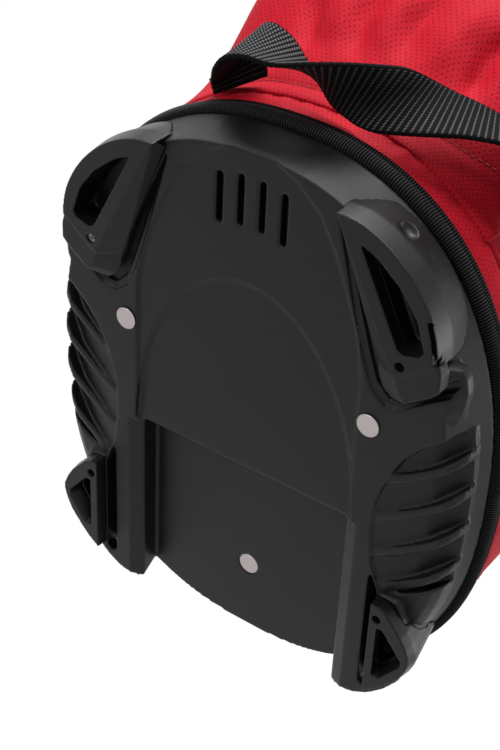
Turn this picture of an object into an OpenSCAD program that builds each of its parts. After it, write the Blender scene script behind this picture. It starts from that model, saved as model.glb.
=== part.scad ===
// A soft golf bag on a moulded oval base, standing upright.
// +X is the bag's right side and -Y the side with the ball pocket; the spine is on +Y.

/* [Whole bag] */
// Height from the ground to the top of the cuff
bag_h = 870; // [820:5:920]
// Width of the moulded base at its binding
base_w = 228; // [218:1:240]
// Length of the moulded base at its binding, pocket side to spine
base_l = 269; // [260:1:288]
// Squareness of the oval on the pocket side, 2 is an ellipse
back_square = 2.3; // [2:0.05:2.6]
// Squareness of the oval on the spine side
front_square = 2.45; // [2.2:0.05:2.9]

/* [Base moulding] */
// Height of the feet below the rails
foot_h = 7; // [5:0.5:10]
// Thickness of the moulded wall
wall_t = 2.6; // [2:0.1:3.5]
// Thickness of the moulded floor
floor_t = 3.4; // [2.5:0.1:4.5]
// Height of the bare wall from the rails to the binding
bare_wall_h = 24; // [22:1:30]
// How far the wall leans in at its foot, on the pocket side and the spine
wall_draft = 3; // [1:0.5:4]
// How far it leans in at the two sides
side_draft = 10; // [6:0.5:11]
// Depth of the recess between the rails
recess_depth = 13; // [8:0.5:15]
// Half width of the recess
recess_half_w = 58; // [50:1:60]
// Distance from the bag's axis to the step of the recess
recess_step_y = 27.5; // [15:0.5:40]
// Width of the flat top of a rail
rail_w = 16; // [12:0.5:18]
// Depth of the shallow panel that holds the vents
panel_depth = 1.2; // [0.6:0.1:2]
// Further depth of the inner arched panel
arch_depth = 1.6; // [0.8:0.1:2.4]
// Half width of the inner arched panel
arch_half_w = 61; // [56:1:64]
// Height of the inner arched panel above the recess step
arch_rise = 97; // [85:1:105]
// Width of one vent slot
vent_w = 3; // [2:0.25:4]
// Length of one vent slot
vent_l = 21; // [14:1:26]
// Distance between neighbouring vent slots
vent_pitch = 11; // [8:0.5:12]
// Number of side ribs on each side
rib_count = 4; // [3:1:4]
// Distance between the ribs along the bag
rib_pitch = 20; // [17:0.5:21]
// Width of one side rib
rib_w = 5; // [4:0.5:8]
// Depth of the hollows between the side ribs
rib_depth = 6; // [4:0.5:7]
// Width of the groove between a rail and its front foot
groove_w = 6; // [4:0.5:7]
// Depth of that groove
groove_depth = 9; // [5:0.5:11]
// Height of the sleeve that the cloth is fixed to
sleeve_h = 28; // [20:1:34]

/* [Feet and fasteners] */
// Depth of the pockets moulded in the feet, from the foot face
foot_pocket_depth = 15; // [10:0.5:17]
// Diameter of the screw holes in the feet
foot_hole_d = 4.3; // [3.5:0.1:5]
// Diameter of the foot screws' heads
screw_head_d = 4.1; // [3.2:0.1:4.8]
// Diameter of the base rivets' heads
rivet_head_d = 11; // [9:0.5:13]
// Diameter of the base rivets' shanks
rivet_d = 6; // [4:0.5:7]
// Distance of the paired rivets from the bag's middle plane
rivet_x = 66; // [64:0.5:68]
// Height of a rivet head above its seat
rivet_head_h = 1.5; // [1:0.1:2.5]

/* [Cloth body] */
// Height of the ribbed binding at the base
binding_h = 11; // [8:0.5:14]
// Thickness of the binding on the outside of the cloth
binding_t = 2.2; // [1.5:0.1:3.5]
// Height of the flared cloth band above the binding
skirt_h = 15; // [12:1:24]
// How far the cloth band flares out
skirt_flare = 0.5; // [0:0.5:4]
// Thickness of the body cloth with its foam
cloth_t = 2.4; // [1.6:0.1:3.2]
// Gap left between sewn pieces
sew_gap = 0.3; // [0.2:0.05:0.5]

/* [Pockets] */
// Depth of the ball pocket
ball_depth = 44; // [34:1:52]
// Height of the ball pocket
ball_h = 250; // [220:5:280]
// Depth of the accessory pocket above the ball pocket
accessory_depth = 26; // [18:1:34]
// Height of the accessory pocket
accessory_h = 170; // [140:5:200]
// Depth of the two side pockets
side_depth = 30; // [20:1:38]
// Height of the left side pocket
left_h = 300; // [240:5:340]
// Height of the right side pocket
right_h = 470; // [400:5:500]
// Height of the side pockets' lower edges
side_z = 165; // [150:5:190]
// Width of a zip tape
zip_w = 26; // [20:1:32]
// Thickness of a zip tape
zip_t = 1.2; // [0.8:0.1:1.6]

/* [Top and fittings] */
// Height of the moulded cuff
cuff_h = 48; // [40:1:60]
// Width of the cuff's padded bars
divider_t = 12; // [8:1:16]
// Depth of the cuff's dividers
divider_h = 60; // [40:2:80]
// Diameter of the stays that hold the bag open
stay_d = 8; // [6:0.5:9]
// Reach of the moulded grab handles
grip_reach = 41; // [32:1:44]
// Length of the moulded grab handles
grip_l = 128; // [110:2:140]
// Thickness of the moulded grab handles
grip_t = 14; // [10:1:18]
// Width of the webbing
webbing_w = 30; // [24:1:32]
// Thickness of the webbing
webbing_t = 1.8; // [1.2:0.1:2.4]
// Wire diameter of the strap rings
ring_wire_d = 4; // [3:0.5:5]

/* [Hidden] */

// Oval
oval_sides = 96;
half_w = base_w / 2;
half_l = base_l / 2;
eps = 0.01;
fit_gap = 0.15;

function sgn(v) = v < 0 ? -1 : 1;
function square_at(t) = sin(t) < 0 ? back_square : front_square;
// Point of the bag's oval, grown by g, at the angle t; 270 is the pocket side and 90 the spine
function oval_at(t, g = 0) = let (n = square_at(t)) [
    (half_w + g) * sgn(cos(t)) * pow(abs(cos(t)), 2 / n),
    (half_l + g) * sgn(sin(t)) * pow(abs(sin(t)), 2 / n)];
// Direction in degrees in which the oval faces at that angle
function facing(t, g = 0) = let (n = square_at(t), p = oval_at(t, g)) atan2(
    sgn(p.y) * pow(abs(p.y), n - 1) / pow(half_l + g, n),
    sgn(p.x) * pow(abs(p.x), n - 1) / pow(half_w + g, n));
function oval(g = 0) = [for (i = [0:oval_sides - 1]) oval_at(360 * i / oval_sides, g)];
function raised(p, z) = [p.x, p.y, z];
// The same outline moved outward from a centre by a few millimetres
function widened(pts, by) = let (c = middle(pts)) [for (p = pts) p + by * (p - c) / norm(p - c)];
function middle(pts, i = 0, sum = [0, 0]) =
    i == len(pts) ? sum / len(pts) : middle(pts, i + 1, sum + pts[i]);
function mirrored(pts) = [for (i = [len(pts) - 1:-1:0]) [-pts[i].x, pts[i].y]];

// Levels from the ground up
rail_z = foot_h;
recess_z = rail_z + recess_depth;
binding_z = rail_z + bare_wall_h;
skirt_z = binding_z + binding_h;
body_z = skirt_z + skirt_h;
sleeve_z = binding_z + sleeve_h;
board_z = recess_z + floor_t + eps;
cuff_z = bag_h - cuff_h;
body_g = skirt_flare;
sleeve_g = -wall_t;

// The outlines of the base and its feet are drawn for these half sizes and follow the base's
drawn_w = 114;
drawn_l = 134.5;
function on_base(pts) = [for (p = pts) [p.x * half_w / drawn_w, p.y * half_l / drawn_l]];
function spot_on_base(p) = on_base([p])[0];

module slab(pts, z0, z1) translate([0, 0, z0]) linear_extrude(z1 - z0) polygon(pts);
module on_both_sides() { children(); mirror([1, 0, 0]) children(); }

// Closed tube of quads: rings of equally many points, joined in order
module skin(rings, closed = false) {
    n = len(rings);
    m = len(rings[0]);
    points = [for (r = rings) each r];
    last = closed ? n - 1 : n - 2;
    sides = [for (i = [0:last], j = [0:m - 1]) let (a = i * m + j, b = i * m + (j + 1) % m,
        c = ((i + 1) % n) * m + (j + 1) % m, d = ((i + 1) % n) * m + j) each [[a, b, c], [a, c, d]]];
    ends = closed ? [] : [for (j = [1:m - 2]) each [[0, j + 1, j],
        [(n - 1) * m, (n - 1) * m + j, (n - 1) * m + j + 1]]];
    polyhedron(points, [for (f = concat(sides, ends)) [f[0], f[2], f[1]]], convexity = 6);
}
// A profile of [growth, height] points carried round the oval
module round_the_oval(profile, steps = 72) skin([for (i = [0:steps - 1])
    [for (p = profile) raised(oval_at(360 * i / steps, p[0]), p[1])]], closed = true);

// ---- Base moulding ----
rail_bevel = 7;
rail_outer = recess_half_w + rail_w;
rail_toe = half_l - 7;
groove_end = half_l - 16;
groove_start = 47.5;
// Edge of the flat plate beside the ribs, from the pad of the rear foot to the rail
rib_edge = concat(on_base([[118, -40], [103, -36], [92, -27], [84, -17.5], [77.5, -4.5]]),
    [[rail_outer - 1, 10.5], [rail_outer - 1.5, 27.5], [rail_outer, 45], [rail_outer + groove_w, 60]],
    on_base([[84, 64], [97, 72], [118, 84]]));
rib_zone = concat(rib_edge, on_base([[136, 84], [136, -40]]));
ramp_half_w = rail_outer - 1;
ramp_top_z = rail_z + 14;
// Arched outlines
function arch(half, rise, y0, steps = 28) =
    [for (i = [0:steps]) let (a = 180 * i / steps) [half * cos(a), y0 - rise * sin(a)]];
panel_right = concat(on_base([[10, -132], [22, -126.5], [35, -115.5], [43, -101.5], [52, -80.5], [57, -66],
    [60, -48]]), [[60 * half_w / drawn_w, recess_step_y]]);
vent_panel = concat(on_base([[0, -132.8]]), panel_right, mirrored(panel_right));
toe = concat([[recess_half_w, rail_toe - 43.5], [recess_half_w, rail_toe + 1], [recess_half_w + 5, rail_toe],
    [rail_outer - 2, rail_toe - 1.5]], on_base([[80, 121.5], [88, 114], [95, 104.5], [99, 92], [98, 76],
    [90, 60]]), [[rail_outer, rail_toe - 67.5]]);

vent_y = 26.5 - half_l;

// The wall's foot, grown by g
function wall_foot(g = 0) = [for (p = oval(0)) [
    p.x * (half_w - side_draft + g) / half_w,
    p.y * (half_l - wall_draft + g) / half_l]];
module outer_wall() hull() {
    slab(wall_foot(), rail_z, rail_z + 1);
    slab(oval(0), binding_z - 1, binding_z);
}
// The crests of the ribs run low and round up into the wall; the hollows rise from the rail to it
ramp_start = [[ramp_half_w, -60], [ramp_half_w, 80], [-ramp_half_w, 80], [-ramp_half_w, -60]];
module crest(grow = 0) hull() {
    slab(ramp_start, rail_z + 1 - grow, rail_z + 2);
    slab(oval(grow - 10), rail_z + 2.5 - grow, rail_z + 3);
    slab(oval(grow - 6), rail_z + 4.5 - grow, rail_z + 5);
    slab(oval(grow - 3.2), rail_z + 8 - grow, rail_z + 9);
    slab(oval(grow - 1.6), ramp_top_z - grow, ramp_top_z + 1);
}
module hollow() hull() {
    slab(ramp_start, rail_z + 1.6, rail_z + 2);
    slab(oval(-17), rail_z + rib_depth, rail_z + rib_depth + 1);
    slab(oval(-2.6), ramp_top_z - 1, ramp_top_z + 1);
}
// Centre line of a side rib, from the rail out to the wall
function rib_line(y) = [for (s = [0:0.125:1]) let (
    a = [rail_outer - 6, y],
    b = [half_w - 16, y - 12],
    c = [half_w + 2, y - 34])
    (1 - s) * (1 - s) * a + 2 * s * (1 - s) * b + s * s * c];
module rib(y) {
    upper = rib_line(y - rib_w / 2);
    lower = rib_line(y + rib_w / 2);
    slab(concat(upper, [for (i = [len(lower) - 1:-1:0]) lower[i]]), rail_z, ramp_top_z + 1);
}
rib_first_y = 1;
// Below the last rib the side is smooth
smooth_end = on_base([[60, 66], [92, 54], [136, 26], [136, 100], [60, 100]]);
module rib_area() intersection() {
    union() {
        hollow();
        intersection() {
            crest();
            union() {
                for (i = [0:rib_count - 1]) on_both_sides() rib(rib_first_y + i * rib_pitch);
                on_both_sides() slab(smooth_end, rail_z, ramp_top_z + 1);
            }
        }
    }
    on_both_sides() slab(rib_zone, rail_z, ramp_top_z + 1);
}
module toe_lobe() hull() {
    slab(toe, rail_z, rail_z + 2);
    slab([for (p = toe) [p.x * 0.93, p.y * 0.9]], binding_z - 3, binding_z - 2);
}
module base_outside() {
    difference() {
        outer_wall();
        on_both_sides() slab(rib_zone, rail_z - 1, ramp_top_z + 1);
    }
    rib_area();
    on_both_sides() {
        toe_lobe();
        knee_pad();
    }
}
module knee_pad(grow = 0) hull() {
    slab(widened(knee_low, grow), rail_z - grow, rail_z + 1);
    slab(widened(knee_high, grow), rail_z + knee_h - grow, rail_z + 2 * knee_h);
}
// The plate's pad beside the heel: its outline at the plate, and where it meets the wall
knee_low = on_base([[80, -30], [80, -68], [93, -70.5], [97.5, -69], [100, -65], [101.5, -58], [101, -49],
    [98, -42], [94, -36]]);
knee_high = on_base([[80, -30], [80, -66], [97, -69], [103, -68], [105.5, -65], [107, -58], [106, -48], [103, -41],
    [98, -36]]);
knee_h = 5;
// A moat in the plate along the rear foot's inner side and under its heel: its far side, and its near
// side under the foot
moat_far = on_base([[43.5, -117], [48.5, -98], [53.5, -79], [60, -58], [65, -45.5], [72.5, -39.6], [81, -41.5],
    [93, -51], [110, -62]]);
moat_near = on_base([[47, -117], [55, -100], [62, -84], [67.5, -70], [71, -59], [76, -51], [82, -50],
    [94, -59], [110, -70]]);
moat_depth = 4;
module moat(share, depth) slab(concat(
    [for (i = [0:len(moat_far) - 1]) moat_far[i] * (1 - share) + moat_near[i] * share],
    [for (i = [len(moat_near) - 1:-1:0]) moat_near[i]]), rail_z - 1, rail_z + depth);
// The third rivet is sunk a little in the recess
rivet_y = -27.5;
rivet_spots = [[-rivet_x, rivet_y], [rivet_x, rivet_y], [0, half_l - 40]];
rivet_sink = 1;

module base_moulding() color([0.17, 0.17, 0.18]) {
    difference() {
        union() {
            base_outside();
            slab(oval(sleeve_g), binding_z - 1, sleeve_z);
        }
        // Recess between the rails, with bevelled sides
        slab([[-recess_half_w, recess_step_y], [recess_half_w, recess_step_y], [recess_half_w, 200],
            [-recess_half_w, 200]], rail_z - 1, recess_z);
        on_both_sides() translate([0, recess_step_y + 2 * half_l, 0]) rotate([90, 0, 0])
            linear_extrude(2 * half_l) polygon([
                [recess_half_w - 1, rail_z - 1],
                [recess_half_w + rail_bevel, rail_z - 1],
                [recess_half_w + rail_bevel, rail_z],
                [recess_half_w, rail_z + 3],
                [recess_half_w - 1, rail_z + 3]]);
        // Arched panels
        slab(vent_panel, rail_z - 1, rail_z + panel_depth);
        slab(arch(arch_half_w, arch_rise, recess_step_y), rail_z - 1, rail_z + panel_depth + arch_depth);
        // Vents
        for (i = [-1.5:1:1.5]) slot(i * vent_pitch, vent_y + (abs(i) > 1 ? 2 : 0));
        // Grooves beside the rails
        on_both_sides() slab([[rail_outer, groove_start], [rail_outer + groove_w, groove_start + 14],
            [rail_outer + groove_w, groove_end - 2], [rail_outer + groove_w / 2, groove_end],
            [rail_outer, groove_end - 2]], rail_z - 1, rail_z + groove_depth);
        // Pockets and screw holes behind the feet
        on_both_sides() {
            slab(widened(rear_pocket, pocket_room), rail_z - 1, rail_z + foot_pocket_depth - foot_h);
            slab(moved_in(front_pocket, front_pocket_lean), rail_z - 1, rail_z + foot_pocket_depth - foot_h);
            moat(0, moat_depth * 0.45);
            moat(0.3, moat_depth);
            for (p = [rear_screw, front_screw]) translate([p.x, p.y, rail_z - 1])
                cylinder(d = screw_d + 0.1, h = screw_depth + 1, $fn = 24);
        }
        // Inside of the cup
        slab(oval(sleeve_g - wall_t), board_z - eps, sleeve_z + 1);
        intersection() {
            slab(oval(-16), rail_z + panel_depth + arch_depth + floor_t, board_z);
            translate([-recess_half_w + 2, -half_l, 0])
                cube([2 * recess_half_w - 4, half_l + recess_step_y - floor_t, board_z]);
        }
        // Rivets
        for (p = rivet_spots) translate([p.x, p.y, 0]) cylinder(d = rivet_d + 0.1, h = board_z + 1, $fn = 32);
        translate([0, rivet_spots[2].y, 0])
            cylinder(d = rivet_head_d + 0.8, h = recess_z + rivet_sink, $fn = 40);
    }
}
module slot(x, y) translate([x, y]) slab(concat(
    [for (a = [0:20:180]) [vent_w / 2 * cos(a), vent_l / 2 + vent_w / 2 * sin(a)]],
    [for (a = [180:20:360]) [vent_w / 2 * cos(a), -vent_l / 2 + vent_w / 2 * sin(a)]]), 0, board_z);

// ---- Feet ----
screw_d = 2.9;
screw_depth = 8;
driver_l = 2.8;
driver_t = 0.6;
rear_screw = spot_on_base([81, -66.5]);
front_screw = spot_on_base([84, 67.5]);
rear_pocket = on_base([[58, -114], [66, -110.5], [78, -101], [86.5, -90], [91, -77], [89, -74.5],
    [82, -72.5], [79, -74]]);
front_pocket = on_base([[85, 72.5], [88, 72.5], [98.5, 85], [98.5, 88.5], [88.5, 101.5], [85, 101.5]]);
// A smooth run through these points
function smooth_run(pts, steps = 3) = [for (i = [0:(len(pts) - 1) * steps]) along_edge(pts, i / steps)];
rear_outer = on_base(smooth_run([[46, -123.5], [55, -123], [63, -120.5], [70, -117], [77, -112], [84, -105.3],
    [90, -97.3], [94.3, -89], [96.6, -81], [97.4, -73.5]]));
rear_face = concat(rear_outer, on_base([[87, -66], [78.3, -60], [75, -66.5], [68.3, -82.5], [61, -97.5],
    [53, -112.5]]));
// Where its inner flank meets the plate
rear_foot_base = on_base([[43.5, -121], [50, -108], [57, -90], [63, -75], [67.5, -61], [97, -75], [88, -95],
    [70, -112]]);
front_face = on_base(concat([[80.5, 60], [84, 60]], smooth_run([[88.5, 62.5], [97, 72], [102, 82], [101.3, 89],
    [97.5, 97], [92, 103.5], [86, 109.5], [80.5, 113.5]], 2)));
// The rear foot's heel, a step above its face
heel = on_base([[78.3, -60], [80, -55.5], [82, -51.5], [84.5, -49.5], [95.7, -57.2], [99, -60.5],
    [99, -68], [97.4, -73.5]]);
heel_base = on_base([[67.5, -61], [68.6, -55], [71, -49.5], [75.5, -46], [81.5, -46.5], [94, -56], [100, -62],
    [100, -70], [97, -75]]);
heel_step = 1.2;
rear_slit = on_base([[92.5, -92.5], [95.3, -84.5], [97, -76.5], [97.6, -73]]);
slit_w = 2.2;
pocket_room = 1;
front_pocket_lean = 4;
// The same points in reverse, moved towards the middle of the base
function moved_in(pts, by) = [for (i = [len(pts) - 1:-1:0]) pts[i] - by * pts[i] / norm(pts[i])];
scallops = on_base([[71, -120], [84.5, -113], [94, -101.5]]);
scallop_d = 11;
scallop_rise = 10;
foot_hole_l = 20;

// A foot wraps from its face round the base's wall: outline, how far it flares and at what height,
// and how far its upper end moves in
module foot_body(face, flare, flare_z, drop_in, top_z) difference() {
    hull() {
        slab(face, 0, 1);
        slab(widened(face, flare), flare_z - 1, flare_z);
        slab(moved_in(face, drop_in), top_z - 1, top_z);
    }
    base_clearance();
}
// The base's outside with a little clearance, to fit a foot against it
module base_clearance() {
    hull() {
        slab(wall_foot(fit_gap), rail_z - fit_gap, rail_z + 1);
        slab(oval(fit_gap), binding_z - 1, binding_z);
    }
    translate([0, 0, rail_z - fit_gap]) linear_extrude(binding_z) hull() polygon(widened(toe, 2 * fit_gap));
    knee_pad(fit_gap);
}
// A slit parts the right rear foot's face from its outer side
module rear_foot(slit = false) color([0.2, 0.2, 0.21]) difference() {
    union() {
        foot_body(rear_face, 1.5, 11, 1, binding_z - 4);
        hull() {
            slab(rear_face, 0.5, 1);
            slab(rear_foot_base, rail_z - fit_gap - 0.5, rail_z - fit_gap);
        }
        hull() {
            slab(heel, heel_step, heel_step + 1);
            slab(heel_base, rail_z - fit_gap - 0.5, rail_z - fit_gap);
        }
    }
    slab(rear_pocket, -1, foot_pocket_depth + 1);
    if (slit) slab(concat(rear_slit, moved_in(rear_slit, slit_w)), -1, foot_h - 1.5);
    translate([rear_screw.x, rear_screw.y, -1]) cylinder(d = foot_hole_d, h = foot_hole_l, $fn = 32);
    for (p = scallops) translate([p.x, p.y, rail_z + scallop_rise]) sphere(d = scallop_d, $fn = 24);
}
module front_foot() color([0.2, 0.2, 0.21]) difference() {
    foot_body(front_face, 1, rail_z - fit_gap, 4, binding_z - 2);
    crest(fit_gap);
    hull() {
        slab(front_pocket, -1, 0);
        slab(moved_in(front_pocket, front_pocket_lean), rail_z, rail_z + 1);
    }
    translate([front_screw.x, front_screw.y, -1]) cylinder(d = foot_hole_d, h = foot_hole_l, $fn = 32);
}
module rear_foot_right() rear_foot(slit = true);
module rear_foot_left() mirror([1, 0, 0]) rear_foot();
module front_foot_right() front_foot();
module front_foot_left() mirror([1, 0, 0]) front_foot();

// ---- Fasteners, board and pad ----
// One of the rear screws sits near the face of its foot, the others deep in their holes
module screw(p, z) translate([p.x, p.y, z]) difference() {
    union() {
        cylinder(d = screw_head_d, h = 2, $fn = 24);
        cylinder(d = screw_d, h = rail_z + screw_depth - 1 - z, $fn = 24);
    }
    for (a = [0, 90]) rotate(a) translate([-driver_l / 2, -driver_t / 2, -1]) cube([driver_l, driver_t, 2]);
}
module foot_screws() color([0.35, 0.35, 0.36]) {
    screw([-rear_screw.x, rear_screw.y], 1.2);
    screw(rear_screw, foot_h - 2.2);
    on_both_sides() screw(front_screw, foot_h - 2.2);
}
module base_rivets() color([0.72, 0.68, 0.67]) for (i = [0:2]) {
    seat = i == 2 ? recess_z + rivet_sink : rail_z;
    p = rivet_spots[i];
    translate([p.x, p.y, 0]) {
        translate([0, 0, seat]) rotate([180, 0, 0]) rivet_head();
        cylinder_between(rivet_d, seat - eps, board_top + 2 * washer_t);
    }
}
module rivet_head() rotate_extrude($fn = 48) polygon([[0, 0], [rivet_head_d / 2, 0],
    [rivet_head_d / 2, rivet_head_h * 0.4], [rivet_head_d / 2 - 0.5, rivet_head_h * 0.8],
    [rivet_head_d / 2 - 1.4, rivet_head_h], [0, rivet_head_h]]);
module cylinder_between(d, z0, z1) translate([0, 0, z0]) cylinder(d = d, h = z1 - z0, $fn = 32);
board_t = 2.5;
board_top = board_z + board_t;
washer_d = 14;
washer_t = 1.2;
module rivet_washers() color([0.6, 0.6, 0.62]) for (p = rivet_spots) translate([p.x, p.y, board_top])
    difference() {
        cylinder(d = washer_d, h = washer_t, $fn = 40);
        translate([0, 0, -1]) cylinder(d = rivet_d + 0.1, h = washer_t + 2, $fn = 32);
    }
board_g = sleeve_g - wall_t - 0.6;
module base_board() color([0.12, 0.12, 0.12]) difference() {
    slab(oval(board_g), board_z, board_top);
    for (p = rivet_spots) translate([p.x, p.y, 0]) cylinder(d = rivet_d + 0.1, h = board_top + 1, $fn = 32);
}
pad_t = 6;
pad_z = board_top + 3;
module base_pad() color([0.3, 0.3, 0.32]) difference() {
    slab(oval(board_g - 1), board_top, pad_z + pad_t);
    for (p = rivet_spots) translate([p.x, p.y, 0]) cylinder(d = washer_d + 2, h = pad_z, $fn = 40);
    for (p = stay_spots) translate([p.x, p.y, 0]) cylinder(d = stay_d + 3, h = bag_h, $fn = 40);
}

// ---- Stays ----
stay_inset = 12;
stay_spots = [[-half_w + stay_inset, 0], [half_w - stay_inset, 0], [0, half_l - stay_inset]];
stay_top = cuff_z + 14;
module stay(i) color([0.75, 0.75, 0.78]) translate([stay_spots[i].x, stay_spots[i].y, 0])
    cylinder_between(stay_d, board_top, stay_top);
module stay_left() stay(0);
module stay_right() stay(1);
module stay_spine() stay(2);

// ---- Cloth of the body ----
cloth_in = sleeve_g + sew_gap;
module base_binding() color([0.06, 0.06, 0.06]) round_the_oval([
    [cloth_in + cloth_t + 0.2, binding_z + 0.3],
    [binding_t - 1, binding_z + 0.3], [binding_t, binding_z + 1.5],
    [binding_t + 0.5, binding_z + binding_h / 2], [binding_t, skirt_z - 1.5], [binding_t - 1, skirt_z],
    [cloth_in + cloth_t + 0.2, skirt_z]]);
// The band leans out from the binding to the seam of the body
module base_skirt() color([0.75, 0.1, 0.15]) round_the_oval([
    [cloth_in, binding_z + 1], [cloth_in + cloth_t, binding_z + 1], [cloth_in + cloth_t, skirt_z],
    [body_g * 0.55, skirt_z + skirt_h / 2], [body_g, body_z - sew_gap], [body_g - cloth_t, body_z - sew_gap],
    [body_g * 0.55 - cloth_t, skirt_z + skirt_h / 2], [cloth_in, skirt_z]]);
tube_top = cuff_z - sew_gap;
module body_tube() color([0.75, 0.1, 0.15]) difference() {
    slab(oval(body_g), body_z, tube_top);
    slab(oval(body_g - cloth_t), body_z - 1, tube_top + 1);
}

// ---- Pockets ----
// Each pocket: middle angle, half angle, lower and upper edge, depth,
// rounding height and fullness at the lower edge on its two sides
pocket_edge = 2;
pocket_g = body_g + sew_gap + 0.2;
side_round = 0.4;
top_round = 60;
low_round = 60;
ball_round = 110;
ball_left_round = 95;
accessory_round = 40;
accessory_z = body_z + ball_h + 16;
ball = [272, 43, body_z + sew_gap, body_z + ball_h, ball_depth, [ball_left_round, 1.6], [ball_round, 1.8]];
accessory = [270, 42, accessory_z, accessory_z + accessory_h, accessory_depth,
    [accessory_round, 1], [accessory_round, 1]];
left = [172, 32, side_z, side_z + left_h, side_depth, [low_round, 1], [low_round, 1]];
right = [8, 32, side_z, side_z + right_h, side_depth, [low_round, 1], [low_round, 1]];
function swell(s, fullness) = s >= 1 ? 1 : s <= 0 ? 0 : pow(sin(90 * s), fullness);
// How far a pocket stands out at u, -1 to 1 across it, and at the height z
function pocket_depth_at(k, u, z) = let (
    side = (u + 1) / 2,
    rise = k[5][0] * (1 - side) + k[6][0] * side,
    fullness = k[5][1] * (1 - side) + k[6][1] * side)
    pocket_edge + (k[4] - pocket_edge) * swell((1 - abs(u)) / side_round, 0.8)
        * swell((z - k[2]) / rise, fullness) * swell((k[3] - z) / top_round, 0.8);
function pocket_point(k, u, z, out = 0) =
    raised(oval_at(k[0] + u * k[1], pocket_g + pocket_depth_at(k, u, z) + out), z);
// The way a pocket's outside faces there
function pocket_facing(k, u, z) = unit(cross(
    pocket_point(k, u + 0.01, z) - pocket_point(k, u - 0.01, z),
    pocket_point(k, u, z + 0.5) - pocket_point(k, u, z - 0.5)));
pocket_columns = 24;
pocket_rows = 15;
function eased(s) = (1 - cos(180 * s)) / 2;
module pocket(k) {
    n = pocket_columns;
    m = pocket_rows;
    us = [for (i = [0:n]) 2 * i / n - 1];
    zs = [for (j = [0:m]) k[2] + (k[3] - k[2]) * (0.6 * eased(j / m) + 0.4 * j / m)];
    // Each ring is one column: up the outside, down the inside
    rings = [for (u = us) concat([for (z = zs) pocket_point(k, u, z)],
        [for (j = [m:-1:0]) raised(oval_at(k[0] + u * k[1], pocket_g), zs[j])])];
    strip_skin(rings, m + 1);
}
// Columns of an outside and an inside row, joined side by side and closed at both ends
module strip_skin(rings, half) {
    n = len(rings);
    m = 2 * half;
    points = [for (r = rings) each r];
    sides = [for (i = [0:n - 2], j = [0:m - 1]) let (a = i * m + j, b = i * m + (j + 1) % m,
        c = (i + 1) * m + (j + 1) % m, d = (i + 1) * m + j) each [[a, b, c], [a, c, d]]];
    ends = [for (j = [0:half - 2]) each [
        [j, m - 1 - j, m - 2 - j], [j, m - 2 - j, j + 1],
        [(n - 1) * m + j, (n - 1) * m + m - 2 - j, (n - 1) * m + m - 1 - j],
        [(n - 1) * m + j, (n - 1) * m + j + 1, (n - 1) * m + m - 2 - j]]];
    polyhedron(points, concat(sides, ends), convexity = 6);
}
module ball_pocket() color([0.75, 0.1, 0.15]) pocket(ball);
module accessory_pocket() color([0.75, 0.1, 0.15]) pocket(accessory);
module left_pocket() color([0.75, 0.1, 0.15]) pocket(left);
module right_pocket() color([0.75, 0.1, 0.15]) pocket(right);

// ---- Zips ----
zip_lift = 0.4;
function unit(v) = v / norm(v);
// Points of a zip's middle line as [u, z]: up one side, across the top and down the other
function arch_zip(k, reach, low, corner) = let (
    top = k[3] - top_round * 0.62,
    w = corner / (half_w * k[1] * PI / 90))
    concat([[reach, low]], [for (a = [0:15:90]) [reach - w * (1 - cos(a)), top - corner * (1 - sin(a))]],
        [for (s = [0.75:-0.25:-0.75]) [s * (reach - w), top]],
        [for (a = [90:-15:0]) [-reach + w * (1 - cos(a)), top - corner * (1 - sin(a))]], [[-reach, low]]);
function straight_zip(k, reach, low, high) = [for (s = [0:0.25:1]) [reach, low + (high - low) * s]];
module zip(k, path) {
    n = len(path);
    spot = [for (p = path) pocket_point(k, p.x, p.y, zip_lift)];
    rings = [for (i = [0:n - 1]) let (
        along = unit(spot[min(i + 1, n - 1)] - spot[max(i - 1, 0)]),
        out = pocket_facing(k, path[i].x, path[i].y),
        side = unit(cross(out, along)),
        up = unit(cross(along, side)))
        [spot[i] - side * zip_w / 2, spot[i] + side * zip_w / 2, spot[i] + side * zip_w / 2 + up * zip_t,
            spot[i] - side * zip_w / 2 + up * zip_t]];
    skin(rings);
}
zip_low = 70;
ball_zip_low = 118;
ball_zip_corner = 34;
accessory_zip_low = 45;
accessory_zip_corner = 26;
ball_path = arch_zip(ball, 0.55, ball[2] + ball_zip_low, ball_zip_corner);
accessory_path = arch_zip(accessory, 0.55, accessory[2] + accessory_zip_low, accessory_zip_corner);
left_path = straight_zip(left, 0.5, left[2] + zip_low, left[3] - top_round);
right_path = straight_zip(right, -0.5, right[2] + zip_low, right[3] - top_round);
module ball_zip() color([0.05, 0.05, 0.05]) zip(ball, ball_path);
module accessory_zip() color([0.05, 0.05, 0.05]) zip(accessory, accessory_path);
module left_zip() color([0.05, 0.05, 0.05]) zip(left, left_path);
module right_zip() color([0.05, 0.05, 0.05]) zip(right, right_path);

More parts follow.
